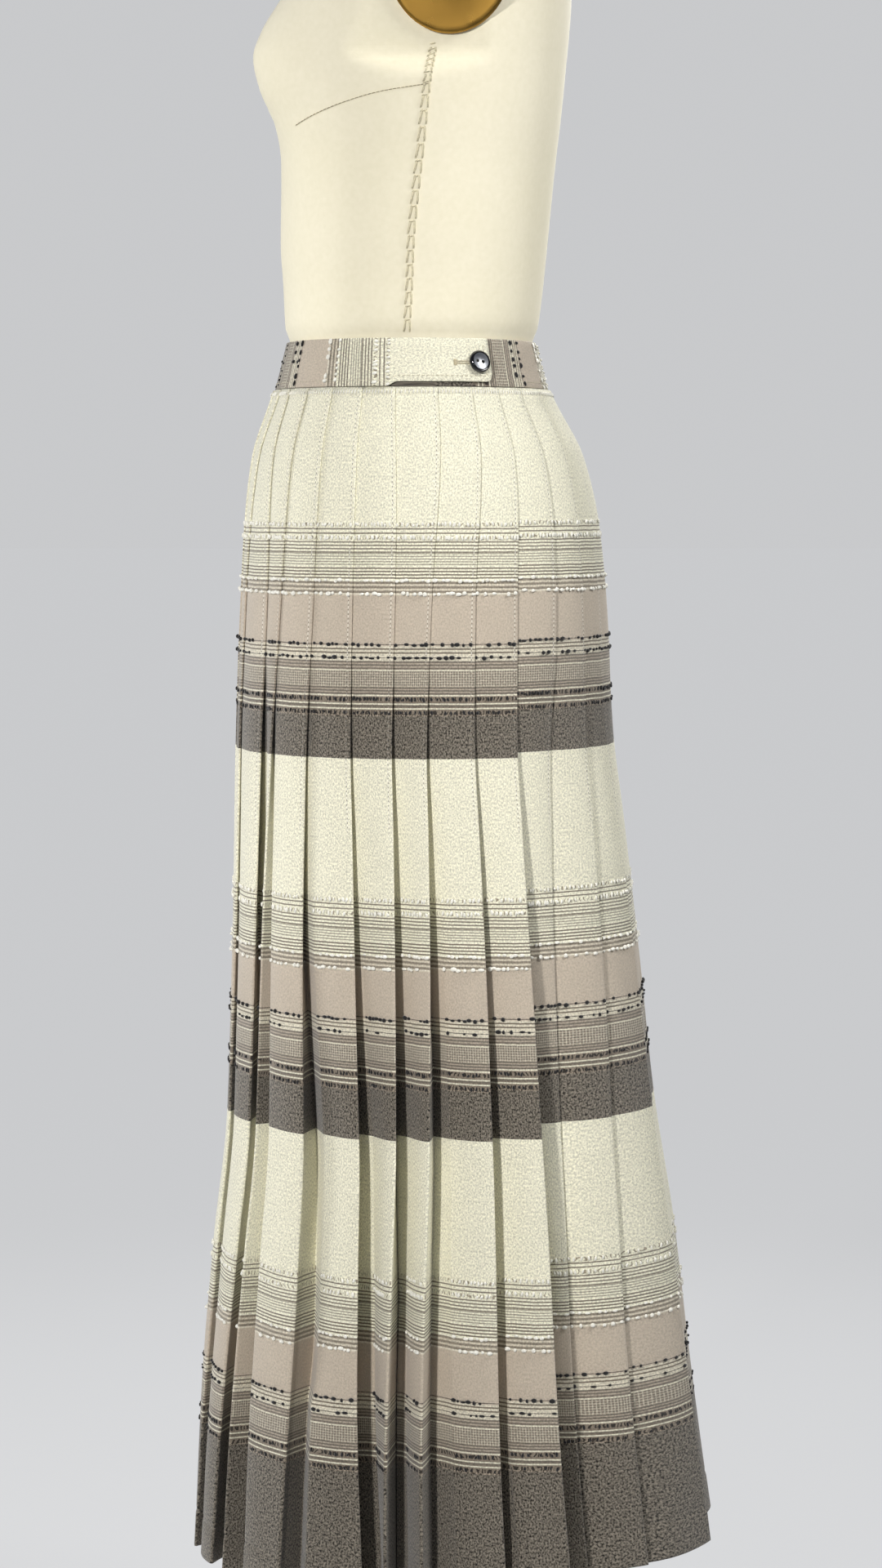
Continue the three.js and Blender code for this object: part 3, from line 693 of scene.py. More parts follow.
def makePiece(name, heap, material, uv=None, sharp=0):
    mesh = bpy.data.meshes.new(name)
    mesh.from_pydata(heap.points, [], heap.faces)
    mesh.materials.append(material)
    if uv:
        layer = mesh.uv_layers.new(name="cloth")
        layer.data.foreach_set("uv", [v for loop in mesh.loops for v in uv[loop.vertex_index]])
    mesh.polygons.foreach_set("use_smooth", [True] * len(mesh.polygons))
    mesh.update()
    if sharp:
        mesh.set_sharp_from_angle(angle=math.radians(sharp))
    piece = bpy.data.objects.new(name, mesh)
    bpy.context.scene.collection.objects.link(piece)
    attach(piece, "root")
    return piece


def lathe(profile, sides):  # a profile of (radius, height) turned about its own axis
    turns = circle(sides)
    rings = []
    for radius, height in profile:
        rings.append([Vector((radius * c, radius * s, height)) for c, s in (turns if radius else [(0, 0)])])
    return rings


def dropLevels():
    seam = skirt["length"] - skirt["hemAllowance"]
    levels = [skirtTop + skirt["levelStep"] * i for i in range(98)]
    levels = [drop for drop in levels if drop < seam - 5]
    levels += [seam + shift for shift in (-3.2, -1.2, 0, 1.2, 3.2, 12)]
    return levels + [skirt["length"] - 2, skirt["length"]]


def skirtPanel(name, firstFold, lastFold, material):
    heap, uv = Heap(), []
    levels = dropLevels()
    ends = {firstFold: "first", lastFold: "last"}
    for drop in levels:
        thicker = hemShape(drop)
        for index in range(firstFold, lastFold + 1):
            pleat = pleatAt(index, drop)
            for point, across in pleatPoints(index, pleat, ends.get(index, "")):
                point = point + point.normalized() * thicker
                heap.points.append(place(point.x, point.y, pleat["height"]))
                uv.append(((index * clothPerPleat + across) * mm, drop * mm))
    count = len(heap.points) // len(levels)
    for level in range(len(levels) - 1):
        for a in range(level * count, level * count + count - 1):
            heap.faces.append((a, a + count, a + count + 1, a + 1))
    piece = makePiece(name, heap, material, uv)
    shell = piece.modifiers.new("wall", "SOLIDIFY")
    shell.thickness = skirt["wall"] * mm
    shell.offset = 0
    return piece


def clothPoint(index, drop, t):  # a point on the outside of a panel, and the way along and out of the cloth
    pleat = pleatAt(index, drop)
    ahead, behind = (facePoint(index, pleat, at) for at in (min(1, t + 0.02), max(0, t - 0.02)))
    run = (ahead - behind).normalized()
    out = Vector((run.y, -run.x))
    point = facePoint(index, pleat, t) + out * skirt["wall"] / 2
    return place(point.x, point.y, pleat["height"]), Vector((run.x, run.y, 0)), Vector((out.x, out.y, 0))


slubs = {
    "seed": 11,
    # row in the repeat, mean spacing, length range, thickness range, which colour, chance that one is there
    "rows": [
        (139.4, 4.9, (2.0, 4.6), (1.9, 3.2), "cream", 0.8),
        (148.7, 5.0, (2.2, 5.2), (2.2, 3.7), "cream", 0.86),
        (184.2, 5.4, (2.0, 5.0), (1.7, 3.5), "black", 0.9),
        (193.4, 6.2, (2.0, 5.0), (1.6, 3.3), "black", 0.85),
    ],
    # short upright loops: row, spacing, height range, width range, colour, chance
    "loops": [
        (100, 3.5, (2.4, 4.0), (1.5, 2.5), "cream", 0.85),
        (109.3, 3.4, (2.6, 4.4), (1.6, 2.7), "cream", 0.88),
        (222.6, 3.7, (2.2, 3.8), (1.3, 2.3), "black", 0.8),
        (232.2, 3.9, (2.0, 3.6), (1.2, 2.2), "black", 0.75),
    ],
    # on each panel: where the first one lies, how far they go, how far off their row, and the uneven spacing
    "first": (0.03, 0.1),
    "last": 0.985,
    "offRow": (-0.5, 0.5),
    "uneven": (0.6, 1.5),
    # on the band: where the first one lies below the edge, and the margin
    "bandFirst": (1.5, 3),
    "bandMargin": 1.5,
    "lean": (-0.35, 0.35),
    "proud": 0.28,
    "knot": {"angle": -56, "drop": 16, "size": 3.4, "tall": 1.1, "thick": 1.2, "turns": (0.3, 1.4, 2.5)},
}


def addSlub(draw, heap, centre, along, across, out, size, girth, upright):
    long = draw.uniform(*size) * mm
    wide = draw.uniform(*girth) * mm
    middle = centre + out * wide * slubs["proud"]
    if upright:
        lean = (across + along * draw.uniform(*slubs["lean"])).normalized()
        heap.addBead(middle, lean, along, out, long, wide, wide * 0.8)
    else:
        heap.addBead(middle, along, across, out, long, wide, wide * 0.85)


def slubRows():
    return [(kind == "loops", row) for kind in ("rows", "loops") for row in slubs[kind]]


def heapPieces(heaps, piece):
    for color, heap in heaps.items():
        material = yarnMaterial(piece + color.capitalize(), wool["slub" + color.capitalize()])
        makePiece(piece + "_" + color, heap, material)
    print(piece, {color: len(heap.faces) for color, heap in heaps.items()})


def buildSkirtSlubs():
    draw = random.Random(slubs["seed"])
    heaps = {"cream": Heap(), "black": Heap()}
    for start in wool["repeatStarts"]:
        for upright, (row, spacing, size, girth, color, chance) in slubRows():
            for index in range(1, skirt["pleats"] + 1):
                t = draw.uniform(*slubs["first"])
                while t < slubs["last"]:
                    if draw.random() < chance:
                        at = start + row + draw.uniform(*slubs["offRow"])
                        centre, along, out = clothPoint(index, at, t)
                        addSlub(draw, heaps[color], centre, along, upward, out, size, girth, upright)
                    t += spacing * draw.uniform(*slubs["uneven"]) / skirt["panelWidth"]
    heapPieces(heaps, "skirt_slubs")


print("skirt panels")
skirtCloth = makeSkirtCloth()
skirtBack = skirtPanel("skirt_back_cloth", 0, skirt["rightSeam"], skirtCloth)
skirtFront = skirtPanel("skirt_front_cloth", skirt["rightSeam"], skirt["pleats"], skirtCloth)
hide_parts("skirt_back")
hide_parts("skirt_front")
buildSkirtSlubs()

# The waistband: one strip that ends under the tab and comes round to lie over it

band = {
    "wall": 2.0,
    "seat": 1.1,
    "lap": 2.6,
    "lapEnds": 2,
    "proud": 1.2,
    "tabStart": -8.5,
    "tabEnd": 34.2,
    "rise": 34,
    "cornerRadius": 5,
    "tabLift": 3.4,
    "steps": 300,
    "tabPattern": 23.6,
    "upright": 0.6,
    "underPattern": 293,
    "underMost": 262,
    "seamAngle": 180,
    "degree": 1.75,  # millimetres of band for each degree, nearly the same all round
    "stitch": {"length": 2.4, "gap": 1.0, "inset": 4.5, "width": 0.5},
    # the slanting stitches under the band: drops of their two ends, step, slant and width
    "seamStitch": {"top": 36.8, "low": 40.2, "step": 0.095, "slant": 0.02, "width": 1.0},
}


def bandPoint(angle, drop, depth=0.0):  # the middle of the strip; the strip's first turn lies under its last
    lapEnd = band["tabStart"] + 360 - band["lapEnds"]
    lapped = smooth(lapEnd - band["rise"], lapEnd, angle)
    seat = band["seat"] + band["lap"] * (1 - lapped) - band["proud"]
    return under(clothSize(drop), math.radians(angle), seat + depth)


def tabLift(angle):  # the tab's lower edge lies higher than the band's
    opening = band["tabStart"] + 360
    return band["tabLift"] * smooth(opening - 1, opening + 3, angle)


def bandSection(lift):  # a rounded strip: across its thickness and down its height
    half, width = band["wall"] / 2, skirt["bandWidth"]
    down = [1 + (width - 2 - lift) * i / 6 for i in range(7)]
    low = width - 0.25 - lift
    outline = [(-half, drop) for drop in down] + [(-half * 0.6, low), (half * 0.6, low)]
    return outline + [(half, drop) for drop in reversed(down)] + [(half * 0.6, 0.2), (-half * 0.6, 0.2)]


def buildWaistband():
    first, last = band["tabStart"], band["tabEnd"] + 360
    middleDrop, radius = skirt["bandWidth"] / 2, band["cornerRadius"]
    angles = [first + (last - first) * i / band["steps"] for i in range(band["steps"] + 1)]
    middles = [bandPoint(angle, middleDrop) for angle in angles]
    lengths = [0.0]
    for here, before in zip(middles[1:], middles):
        lengths.append(lengths[-1] + (here - before).length)
    length = lengths[-1]
    seamAt = next(l for a, l in zip(angles, lengths) if a >= band["seamAngle"])
    rows, rings, uv = [], [], []
    for angle, along, middle in zip(angles, lengths, middles):
        fromEnd = length - along
        lift = radius - math.sqrt(max(0, radius ** 2 - (radius - fromEnd) ** 2)) if fromEnd < radius else 0
        if along <= seamAt:
            pattern = min(band["underPattern"] - along, band["underMost"])
        else:
            pattern = band["tabPattern"] + fromEnd
        rows.append((angle, pattern))
        run = (bandPoint(angle - 1, middleDrop) - middle).normalized()
        ring = []
        for depth, drop in bandSection(lift + tabLift(angle)):
            point = bandPoint(angle, drop, depth)
            ring.append(place(point.x, point.y, skirt["waistHeight"] - drop))
            # the stripes stand nearly upright, not square to the flared edge
            leant = band["upright"] * (point.y - middle.y) * run.y
            uv.append(((pattern + leant) * mm, drop * mm))
        rings.append(ring)
    heap = Heap()
    heap.addRings(rings)
    piece = makePiece("waistband_cloth", heap, makeBandCloth(), uv)
    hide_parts("waistband")
    return rows


def bandSurface(angle, drop):  # a point on the outside of the strip, and the way out of it
    here = bandPoint(angle, drop, -band["wall"] / 2)
    out = (here - bandPoint(angle, drop, band["wall"])).normalized()
    return place(here.x, here.y, skirt["waistHeight"] - drop), Vector((out.x, out.y, 0))


def buildBandStitches():
    heap = Heap()
    stitch = band["stitch"]
    length, gap, inset = stitch["length"], stitch["gap"], stitch["inset"]

    def sew(angle, drop, nextAngle, nextDrop):
        a, out = bandSurface(angle, drop)
        b, _ = bandSurface(nextAngle, nextDrop)
        heap.addThread(a, b, out, stitch["width"] * mm)

    low = skirt["bandWidth"] - inset
    angle = band["tabEnd"] + 2
    stop = band["tabEnd"] + 360 - inset / band["degree"]
    while angle < stop:
        ahead = angle + length / band["degree"]
        sew(angle, low - tabLift(angle), min(ahead, stop), low - tabLift(ahead))
        angle = ahead + gap / band["degree"]
    drop = inset
    while drop < low - band["tabLift"]:
        sew(stop, drop, stop, min(drop + length, low - band["tabLift"]))
        drop += length + gap
    makePiece("waistband_stitches", heap, yarnMaterial("sewingThread", linear("D8D0B8")))


def buildBandSlubs(rows):
    draw = random.Random(slubs["seed"] + 1)
    heaps = {"cream": Heap(), "black": Heap()}
    for upright, (row, spacing, size, girth, color, chance) in slubRows():
        for (angle, pattern), (nextAngle, nextPattern) in zip(rows, rows[1:]):
            hidden = band["tabStart"] - 1 < angle < band["tabEnd"] + 1
            if hidden or (pattern - row) * (nextPattern - row) >= 0:
                continue
            at = angle + (nextAngle - angle) * (row - pattern) / (nextPattern - pattern)
            drop = draw.uniform(*slubs["bandFirst"])
            while drop < skirt["bandWidth"] - slubs["bandMargin"]:
                if draw.random() < chance:
                    centre, out = bandSurface(at, drop)
                    above, _ = bandSurface(at, drop - 1)
                    up = (above - centre).normalized()
                    across = up.cross(out).normalized()
                    addSlub(draw, heaps[color], centre, up, across, out, size, girth, upright)
                drop += spacing * draw.uniform(*slubs["uneven"])
    knot = slubs["knot"]
    centre, out = bandSurface(knot["angle"] + 360, knot["drop"])
    side = Vector((-out.y, out.x, 0))
    size, tall, thick = (knot[key] * mm for key in ("size", "tall", "thick"))
    for turn in knot["turns"]:
        along = side * math.cos(turn) + upward * math.sin(turn)
        heaps["black"].addBead(centre, along, along.cross(out), out, size, tall, thick)
    heapPieces(heaps, "waistband_slubs")


def buildWaistSeam():  # the small slanting stitches that hold the pleats under the band
    heap, stitch = Heap(), band["seamStitch"]
    for index in range(1, skirt["pleats"] + 1):
        t = 0.06
        while t < 0.93:
            a, _, out = clothPoint(index, stitch["low"], t)
            b, _, _ = clothPoint(index, stitch["top"], t + stitch["slant"])
            heap.addThread(a, b, out, stitch["width"] * mm)
            t += stitch["step"]
    makePiece("waist_seam_stitches", heap, yarnMaterial("seamThread", wool["slubCream"]))


print("waistband")
buildBandSlubs(buildWaistband())
buildBandStitches()
buildWaistSeam()

# The button: a dished black button with two holes, sewn with black thread, and its buttonhole

button = {
    "radius": 8.3,
    "thickness": 3.2,
    "angle": 28.6,
    "drop": 17.5,
    "seat": 0.9,
    "rim": [(0.9, 0), (0.985, 0.35), (1, 1), (0.985, 1.9), (0.93, 2.65), (0.84, 3.2), (0.79, 3.12)],
    "dish": 1.5,
    "dishRadius": 0.74,
    "holeRadius": 1.3,
    "holeSpacing": 4.3,
    "holeTilt": -10,
    "threadShifts": (-0.35, 0, 0.35),
}


def buttonFrame():  # across, up and out at the button's seat on the tab
    seat, out = bandSurface(button["angle"] + 360, button["drop"])
    top, _ = bandSurface(button["angle"] + 360, 0)
    low, _ = bandSurface(button["angle"] + 360, skirt["bandWidth"])
    up = (top - low).normalized()
    across = up.cross(out).normalized()
    out = across.cross(up).normalized()
    turn = Matrix((across, up, out)).transposed().to_4x4()
    return Matrix.Translation(seat) @ turn @ Matrix.Translation((0, 0, button["seat"] * mm)), out


def glossyBlack():
    material, tree, shader = newMaterial("buttonBlack")
    wear = noiseAt(objectPlace(tree), 500, 3)
    # the hollow in the middle is a little less polished than the rim
    fromMiddle, _ = clothPlace(tree)
    hollow = ranged(fromMiddle, button["radius"] * 0.7, button["radius"] * 0.75, 1.0, 0.0)
    black = blendColor(wear, linear("0B0B0D"), linear("191A1D"))
    settle(shader, {
        "Base Color": blendColor(hollow, black, linear("B4B7BC")), "Metallic": hollow,
        "Roughness": ranged(wear, 0.3, 0.7, 0.07, 0.13) + hollow * 0.24,
        "Coat Weight": 0.6, "Coat Roughness": 0.05,
    })
    return material


def cutHole(piece, cutterPlace):
    bpy.ops.mesh.primitive_cylinder_add(vertices=24, radius=button["holeRadius"] * mm, depth=12 * mm)
    cutter = bpy.context.object
    cutter.matrix_world = cutterPlace
    cut = piece.modifiers.new("hole", "BOOLEAN")
    cut.operation = "DIFFERENCE"
    cut.object = cutter
    cut.solver = "EXACT"
    bpy.context.view_layer.update()
    whole = bpy.data.meshes.new_from_object(piece.evaluated_get(bpy.context.evaluated_depsgraph_get()))
    piece.modifiers.clear()
    piece.data = whole
    bpy.data.objects.remove(cutter)


def buildButton():
    lift, out = buttonFrame()
    r, thick, dish = button["radius"], button["thickness"], button["dish"]
    profile = [(0, 0)] + [(r * share, height) for share, height in button["rim"]]
    for i in range(12):  # the hollow that catches the light
        t = i / 12
        hollow = 0.25 + (dish - 0.25) * math.sin(t * math.pi / 2)
        profile.append((r * button["dishRadius"] * (1 - t), thick - hollow))
    profile.append((0, thick - dish))
    rings = lathe(profile, 64)
    uv = [(radius * mm, height * mm) for (radius, height), ring in zip(profile, rings) for _ in ring]
    heap = Heap()
    heap.addRings([[lift @ (p * mm) for p in ring] for ring in rings])
    piece = makePiece("tab_button", heap, glossyBlack(), uv)
    tilt = Matrix.Rotation(math.radians(button["holeTilt"]), 4, "Z")
    half = button["holeSpacing"] / 2
    for side in (-1, 1):
        cutHole(piece, lift @ tilt @ Matrix.Translation((side * half * mm, 0, 1.5 * mm)))
    piece.data.polygons.foreach_set("use_smooth", [True] * len(piece.data.polygons))
    piece.data.set_sharp_from_angle(angle=math.radians(40))
    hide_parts("button")
    heap = Heap()
    for shift in button["threadShifts"]:
        ends = [lift @ tilt @ (Vector((side * half, shift, thick - dish - 0.9)) * mm) for side in (-1, 1)]
        heap.addThread(*ends, out, 0.6 * mm)
    makePiece("button_thread", heap, yarnMaterial("buttonThread", linear("1B1A1A")))


buttonhole = {"before": 9.6, "past": 2, "stitches": 30, "tackStitches": 9, "tack": 3.6}


def buildButtonhole():
    heap, middle = Heap(), button["drop"]
    left, right = button["angle"] + 360 - buttonhole["before"], button["angle"] + 360 + buttonhole["past"]
    count = buttonhole["stitches"]
    for i in range(count):
        angle = left + (right - left) * i / (count - 1)
        for side in (-1, 1):
            a, out = bandSurface(angle, middle + side * 0.3)
            b, _ = bandSurface(angle + 0.1, middle + side * 1.3)
            heap.addThread(a, b, out, 0.5 * mm)
    count = buttonhole["tackStitches"]
    for i in range(count):
        drop = middle + buttonhole["tack"] * (i / (count - 1) - 0.5)
        a, out = bandSurface(left - 1.1, drop)
        b, _ = bandSurface(left + 0.3, drop)
        heap.addThread(a, b, out, 0.9 * mm)
    makePiece("buttonhole", heap, yarnMaterial("buttonholeThread", linear("CFC3A2")))
    # painted shade: a dark strand along the middle of the buttonhole stands for the shadow in its opening
    slitShadow = Heap()
    a, out = bandSurface(left, middle)
    b, _ = bandSurface(right, middle)
    slitShadow.addThread(a, b, out, 0.5 * mm)
    makePiece("buttonhole_slit_shade", slitShadow, yarnMaterial("slitShade", linear("3A342C")))


print("button")
buildButton()
buildButtonhole()

# The dress form: padded torso in ivory linen, with a laced side seam and a bust seam on each side

form = {
    "squareness": 2.25,
    "bustSpacing": 74,
    "bustWidth": 46,
    "plate": {
        "halfWidth": 45, "halfHeight": 54, "thickness": 4, "y": 23, "above": 266, "flatAt": 138, "lean": 0.16,
    },
    "plateMargin": 12,
    "plateFade": 60,
    "gap": 0.3,
    "outline": [  # height above the band's top, front, back, side, bust mound
        (-330, 106, 122, 146, 0), (-322, 112, 128, 152, 0), (-260, 116, 129, 156, 0),
        (-190, 117, 125, 154, 0), (-133, 113.5, 118, 144, 0), (-85, 107, 106, 130, 0),
        (-50, 97.5, 90, 118, 0), (-30, 94.6, 84.6, 111, 0), (0, 94.6, 84.6, 111, 0),
        (10, 98.2, 88.4, 114, 0), (42, 99.8, 92.8, 118, 0), (72, 101.6, 95.8, 123, 0),
        (132, 100.5, 101.7, 131, 3), (157, 102, 104.7, 135, 9), (180, 103.5, 107.2, 138, 20),
        (204, 103, 109.4, 140, 25.5), (222, 100, 111.2, 141, 22), (246, 93, 112.9, 142, 13.5),
        (275, 83, 113.5, 144, 5), (310, 72, 112, 149, 0), (345, 61, 106, 155, 0), (372, 53, 97, 157, 0),
        (388, 49, 87, 150, 0), (402, 46, 76, 122, 0), (416, 44, 68, 92, 0), (432, 42, 62, 66, 0),
        (450, 41, 58, 55, 0), (482, 40, 57, 52, 0),
    ],
    "sides": 128,
    "capSides": 96,
    # share of the neck's outline, and height
    "cap": [
        (0.97, 0), (1, 0.6), (1.03, 2.2), (1.035, 3.5), (1.02, 6), (0.96, 8.4), (0.84, 10.4), (0.6, 11.6),
        (0.3, 12),
    ],
    # each seam: height above the band and angle, in degrees; the side seam, and from it towards the bust
    "sideSeam": [(4, -1.5), (60, -1), (120, 0.5), (180, 3), (204, 4.5)],
    "bustSeam": [(177, 3.5), (172, -14), (163, -32), (152, -50)],
}


def formPoint(angle, above):  # a point on the padded form, in millimetres from its axis
    size = [column(form["outline"], key, above) for key in (1, 2, 3)]
    mound = column(form["outline"], 4, above)
    plate = form["plate"]
    reach = abs(above - plate["above"]) / (plate["halfHeight"] + form["plateMargin"])
    flat = plate["flatAt"] + plate["lean"] * (above - plate["above"]) + form["plateFade"] * max(0, reach - 1)
    point = onOval(size, angle, form["squareness"])
    nearest = abs(abs(point.x) - form["bustSpacing"]) / form["bustWidth"]
    point.y -= mound * math.exp(-nearest ** 2) * smooth(0, 60, -point.y)
    point.x = max(-flat, min(flat, point.x))
    return point


def linenMaterial():
    material, tree, shader = newMaterial("formLinen")
    where = objectPlace(tree)
    x, y, z = (wave(value, 0.0007) for value in split(where))
    weave = (x + y) * z
    slubby = noiseAt(where, 240, 3)
    tone = noiseAt(where, 9, 3) * 0.6 + slubby * 0.4
    settle(shader, {
        "Base Color": blendColor(ranged(tone, 0.35, 0.65), linear("F4EDD1"), linear("FCF5DC")),
        "Roughness": ranged(slubby, 0.3, 0.7, 0.7, 0.85), "Sheen Weight": 0.15, "Specular IOR Level": 0.25,
    })
    addBump(shader, weave * 0.3 + slubby, 0.25, 0.0003)
    return material


def buildForm():
    heights = [-330, -327, -322, -312] + list(range(-300, -40, 10)) + list(range(-40, 482, 5)) + [481]
    sides = form["sides"]
    rings = []
    for above in heights:
        ring = [formPoint(tau * s / sides, above) for s in range(sides)]
        rings.append([place(point.x, point.y, skirt["waistHeight"] + above) for point in ring])
    heap = Heap()
    heap.addRings(rings)
    piece = makePiece("form_torso", heap, linenMaterial(), sharp=60)
    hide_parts("dress_form_torso")


def alongSeam(rows, t):  # height and angle
    at = t * (len(rows) - 1)
    table = [(i, above, angle) for i, (above, angle) in enumerate(rows)]
    return column(table, 1, at), math.radians(column(table, 2, at))


def buildFormSeams():
    lacing, ridge = Heap(), Heap()
    for side in (1, -1):
        def surface(angle, above):
            angle = angle if side > 0 else math.pi - angle
            here = formPoint(angle, above)
            run = (formPoint(angle + 0.03, above) - formPoint(angle - 0.03, above)).normalized()
            return place(here.x, here.y, skirt["waistHeight"] + above), Vector((run.y, -run.x, 0))

        def sew(heap, angle, above, nextAngle, nextAbove, width):
            a, out = surface(angle, above)
            b, _ = surface(nextAngle, nextAbove)
            heap.addThread(a, b, out, width * mm)

        last = 23
        for i in range(last):
            above, angle = alongSeam(form["sideSeam"], i / last)
            nextAbove, nextAngle = alongSeam(form["sideSeam"], (i + 0.93) / last)
            for half, lean in ((-0.019, 0.006), (0.019, -0.004)):
                for strand in (-0.004, 0.004):
                    start, stop = angle + half - lean + strand, nextAngle + half + lean - strand
                    sew(lacing, start, above, stop, nextAbove, 1.2)
            middle = (above + nextAbove) / 2
            sew(lacing, angle - 0.021, middle + 3.6, angle + 0.021, middle + 4.6, 1)
        last = 35
        for i in range(last):
            above, angle = alongSeam(form["bustSeam"], i / last)
            nextAbove, nextAngle = alongSeam(form["bustSeam"], (i + 1) / last)
            sew(ridge, angle, above, nextAngle, nextAbove, 0.7)
    makePiece("form_lacing", lacing, yarnMaterial("lacingCord", linear("E4DBBB")))
    makePiece("form_bust_seams", ridge, yarnMaterial("bustSeam", linear("B5A988")))


def metal(name, color, rough, brushed):
    material, tree, shader = newMaterial(name)
    where = objectPlace(tree)
    stretch = tree.nodes.new("ShaderNodeVectorMath")
    stretch.operation = "MULTIPLY"
    feed(stretch.inputs[0], where)
    feed(stretch.inputs[1], brushed)
    grain = noiseAt(Value(tree, stretch.outputs[0]), 60, 4, 0.6)
    cloud = ranged(noiseAt(where, 14, 3), 0.3, 0.7)
    settle(shader, {
        "Base Color": blendColor(cloud, darker(color, 0.72), color), "Metallic": 1.0,
        "Roughness": ranged(grain, 0.3, 0.7, rough - 0.06, rough + 0.1),
    })
    addBump(shader, grain, 0.15, 0.0002)
    return material


def buildArmPlates(gold):
    plate = form["plate"]
    thick = plate["thickness"]
    profile = [(0, 0), (0.97, 0), (1, 0.8), (1, thick - 1.3), (0.985, thick - 0.5), (0.95, thick - 0.1)]
    profile += [(0.9, thick - 0.35), (0.6, thick), (0.3, thick + 0.2), (0, thick + 0.25)]
    c, s = math.cos(math.atan(plate["lean"])), math.sin(math.atan(plate["lean"]))
    for name, node, side in (
        ("armhole_plate_left", "arm_plate_left", 1), ("armhole_plate_right", "arm_plate_right", -1),
    ):
        out, up = Vector((side * c, 0, -s)), Vector((side * s, 0, c))
        across = up.cross(out)
        x = side * (plate["flatAt"] + form["gap"] / c)
        seat = Vector((x, plate["y"], skirt["waistHeight"] + plate["above"]))
        wide, tall = across * plate["halfWidth"], up * plate["halfHeight"]
        rings = []
        for ring in lathe(profile, form["capSides"]):
            rings.append([place(*(seat + wide * p.x + tall * p.y + out * p.z)) for p in ring])
        heap = Heap()
        heap.addRings(rings)
        piece = makePiece(name, heap, gold, sharp=50)
        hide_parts(node)


def buildNeckCap(gold):
    neck = form["outline"][-1]
    neckTop = skirt["waistHeight"] + neck[0] + form["gap"]
    middle = (neck[2] - neck[1]) / 2
    sides = form["capSides"]
    edge = [onOval(neck[1:4], tau * s / sides, form["squareness"]) for s in range(sides)]
    heap = Heap()
    heap.addRings([
        [place(point.x * grow, middle + (point.y - middle) * grow, neckTop + height) for point in edge]
        for grow, height in form["cap"]
    ])
    piece = makePiece("neck_cap_plate", heap, gold, sharp=50)
    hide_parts("neck_cap")


stand = {
    "footRadius": 190, "rim": 9, "dome": 26, "hub": 34, "hubHeight": 62,
    "poleRadius": 14, "collarRadius": 30, "collarHeight": 46, "sides": 96,
}


def footProfile():
    radius, rim, dome, hub, top = (stand[key] for key in ("footRadius", "rim", "dome", "hub", "hubHeight"))
    profile = [(0, 0), (radius - 4, 0), (radius - 1.2, 0.9), (radius, 3), (radius, rim - 1)]
    profile.append((radius - 1.5, rim + 1.6))
    for i in range(12):
        t = i / 12
        profile.append((radius - 6 + (hub + 34 - radius + 6) * t, rim + 3.6 + (dome - 8 - rim) * t ** 1.2))
    profile += [(hub + 22, dome - 1), (hub + 8, dome + 4), (hub + 1, dome + 10), (hub - 3, top - 8)]
    return profile + [(hub - 6, top - 3), (hub - 10, top - 0.2), (hub - 16, top), (0, top)]


def poleProfile():
    radius, wide = stand["poleRadius"], stand["collarRadius"]
    foot, top = poleLow.z / mm, poleHigh.z / mm
    collar = top - stand["collarHeight"]
    profile = [(0, foot), (radius, foot), (radius, collar - 14), (radius + 0.6, collar - 12)]
    profile += [(radius + 8, collar), (wide - 1.5, collar + 4), (wide, collar + 7)]
    return profile + [(wide, top - 1), (wide - 1, top), (0, top)]


def buildStand():
    steel = metal("poleSteel", linear("B4B6BA"), 0.28, (1, 1, 0.05))
    iron = metal("baseIron", linear("26282B"), 0.45, (1, 1, 1))
    for name, profile, node, material, slot in (
        ("round_foot", footProfile(), "stand_base", iron, "base_iron"),
        ("pole_and_collar", poleProfile(), "stand_pole", steel, "pole_steel"),
    ):
        heap, turned = Heap(), lathe(profile, stand["sides"])
        heap.addRings([[place(p.x, p.y + poleBehindAxis, p.z) for p in ring] for ring in turned])
        piece = makePiece(name, heap, material, sharp=35)
        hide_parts(node)


print("dress form")
gold = metal("satinGold", linear("C89B4A"), 0.3, (1, 1, 1))
buildForm()
buildFormSeams()
buildArmPlates(gold)
buildNeckCap(gold)
buildStand()

# Each half of the skirt is fourteen pleats of a 35 mm panel and 62 mm of underlay

# Camera, floor and soft studio light

camera = {
    "distance": 2900,
    "side": 17,
    "belowWaist": 108.6,
    "tilt": 4.33,
    "lens": 89.1,
}

studio = {
    "roomColor": (0.97, 0.98, 1, 1),
    "fillColor": (0.66, 0.78, 1, 1),
    "roomLight": 0.06,
    "backdrop": 0.6,
    "floorGlow": 0.85,
    "floorHalf": 60,
    "aimBelowWaist": 430,
    # each light: turn from the camera's side and lift in degrees, distance, size, spread, strength, colour
    "lights": {
        "keyLight": (-22, 22, 2.6, 0.16, 76, 0.39, (1, 0.98, 0.965)),
        "sideLight": (66, 44, 2.4, 0.9, 78, 0.41, (1, 0.99, 0.975)),
        "cameraFill": (-4, 6, 3.2, 0.8, 100, 0.03, (1, 1, 1)),
        "backLight": (165, 25, 2.6, 0.8, 100, 0.62, (1, 1, 1)),
        "frontLight": (-112, 16, 2.6, 0.6, 100, 0.5, (1, 1, 1)),
    },
}


def addCamera():
    data = bpy.data.cameras.new("camera")
    data.lens = camera["lens"]
    data.sensor_width = 36
    data.clip_end = 200
    piece = bpy.data.objects.new("camera", data)
    piece.location = place(camera["distance"], camera["side"], skirt["waistHeight"] - camera["belowWaist"])
    piece.rotation_euler = (math.radians(90 - camera["tilt"]), 0, math.radians(90))
    bpy.context.scene.collection.objects.link(piece)
    bpy.context.scene.camera = piece


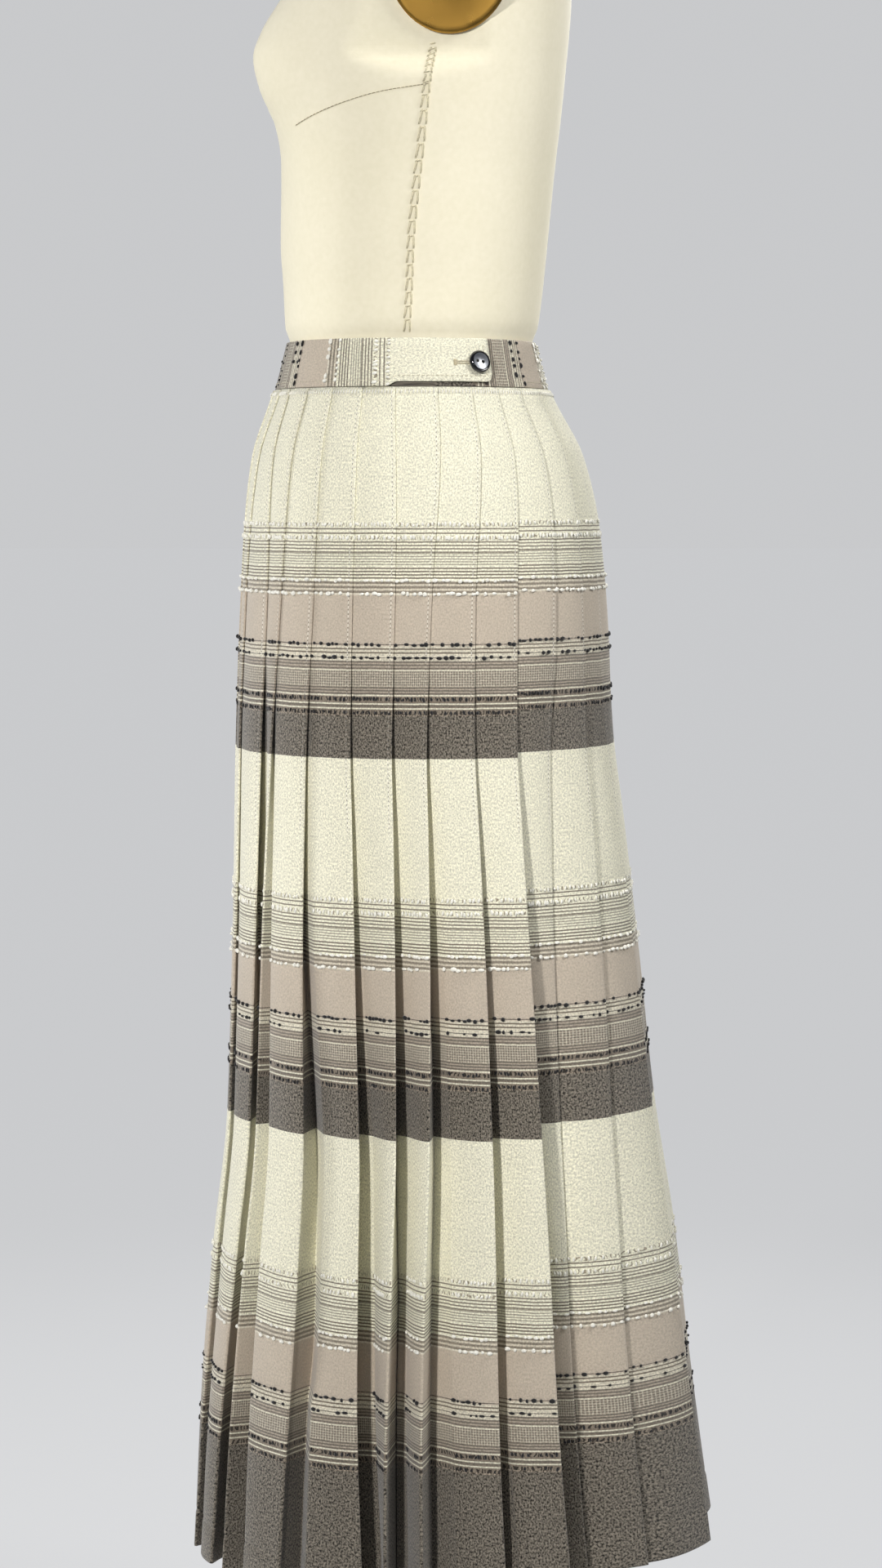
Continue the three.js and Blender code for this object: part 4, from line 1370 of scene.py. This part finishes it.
def addLight(name, turn, lift, distance, size, spread, strength, color):
    turn, lift = math.radians(turn), math.radians(lift)
    towards = Vector((math.cos(turn) * math.cos(lift), math.sin(turn) * math.cos(lift), math.sin(lift)))
    data = bpy.data.lights.new(name, "AREA")
    data.shape = "DISK"
    data.size = size
    data.spread = math.radians(spread)
    data.energy = strength * math.pi * distance ** 2
    data.color = color
    piece = bpy.data.objects.new(name, data)
    piece.location = place(0, 0, skirt["waistHeight"] - studio["aimBelowWaist"]) + towards * distance
    piece.rotation_euler = (-towards).to_track_quat("-Z", "Y").to_euler()
    bpy.context.scene.collection.objects.link(piece)


def mixSeen(tree, share, plain, seen, output):  # what the camera sees directly isn't what lights the object
    mix = tree.nodes.new("ShaderNodeMixShader")
    direct = Value(tree, tree.nodes.new("ShaderNodeLightPath").outputs["Is Camera Ray"])
    feed(mix.inputs[0], direct * share)
    tree.links.new(plain.outputs[0], mix.inputs[1])
    tree.links.new(seen.outputs[0], mix.inputs[2])
    tree.links.new(mix.outputs[0], output.inputs[0])


def addFloor():
    material, tree, shader = newMaterial("paleFloor")
    tone = blendColor(noiseAt(objectPlace(tree), 40, 3), linear("E2E2E1"), linear("E6E6E5"))
    settle(shader, {"Base Color": tone, "Roughness": 0.8})
    # seen directly, the floor is about as pale as the room behind it
    even = tree.nodes.new("ShaderNodeEmission")
    settle(even, {"Color": studio["roomColor"], "Strength": studio["backdrop"] / studio["floorGlow"]})
    mixSeen(tree, studio["floorGlow"], shader, even, tree.nodes["Material Output"])
    half = studio["floorHalf"]
    corners = [(x * half, y * half, 0) for x, y in ((-1, -1), (1, -1), (1, 1), (-1, 1))]
    mesh = bpy.data.meshes.new("floor")
    mesh.from_pydata(corners, [], [(0, 1, 2, 3)])
    mesh.materials.append(material)
    floor = bpy.data.objects.new("floor", mesh)
    floor.location.z = -0.0005
    bpy.context.scene.collection.objects.link(floor)


def addRoom():
    world = bpy.data.worlds.new("softRoom")
    world.use_nodes = True
    tree = world.node_tree
    room, backdrop = tree.nodes["Background"], tree.nodes.new("ShaderNodeBackground")
    settle(room, {"Color": studio["fillColor"], "Strength": studio["roomLight"]})
    settle(backdrop, {"Color": studio["roomColor"], "Strength": studio["backdrop"]})
    mixSeen(tree, 1.0, room, backdrop, tree.nodes["World Output"])
    bpy.context.scene.world = world


addCamera()
addFloor()
addRoom()
for name, values in studio["lights"].items():
    addLight(name, *values)
bpy.context.scene.view_settings.view_transform = "Standard"
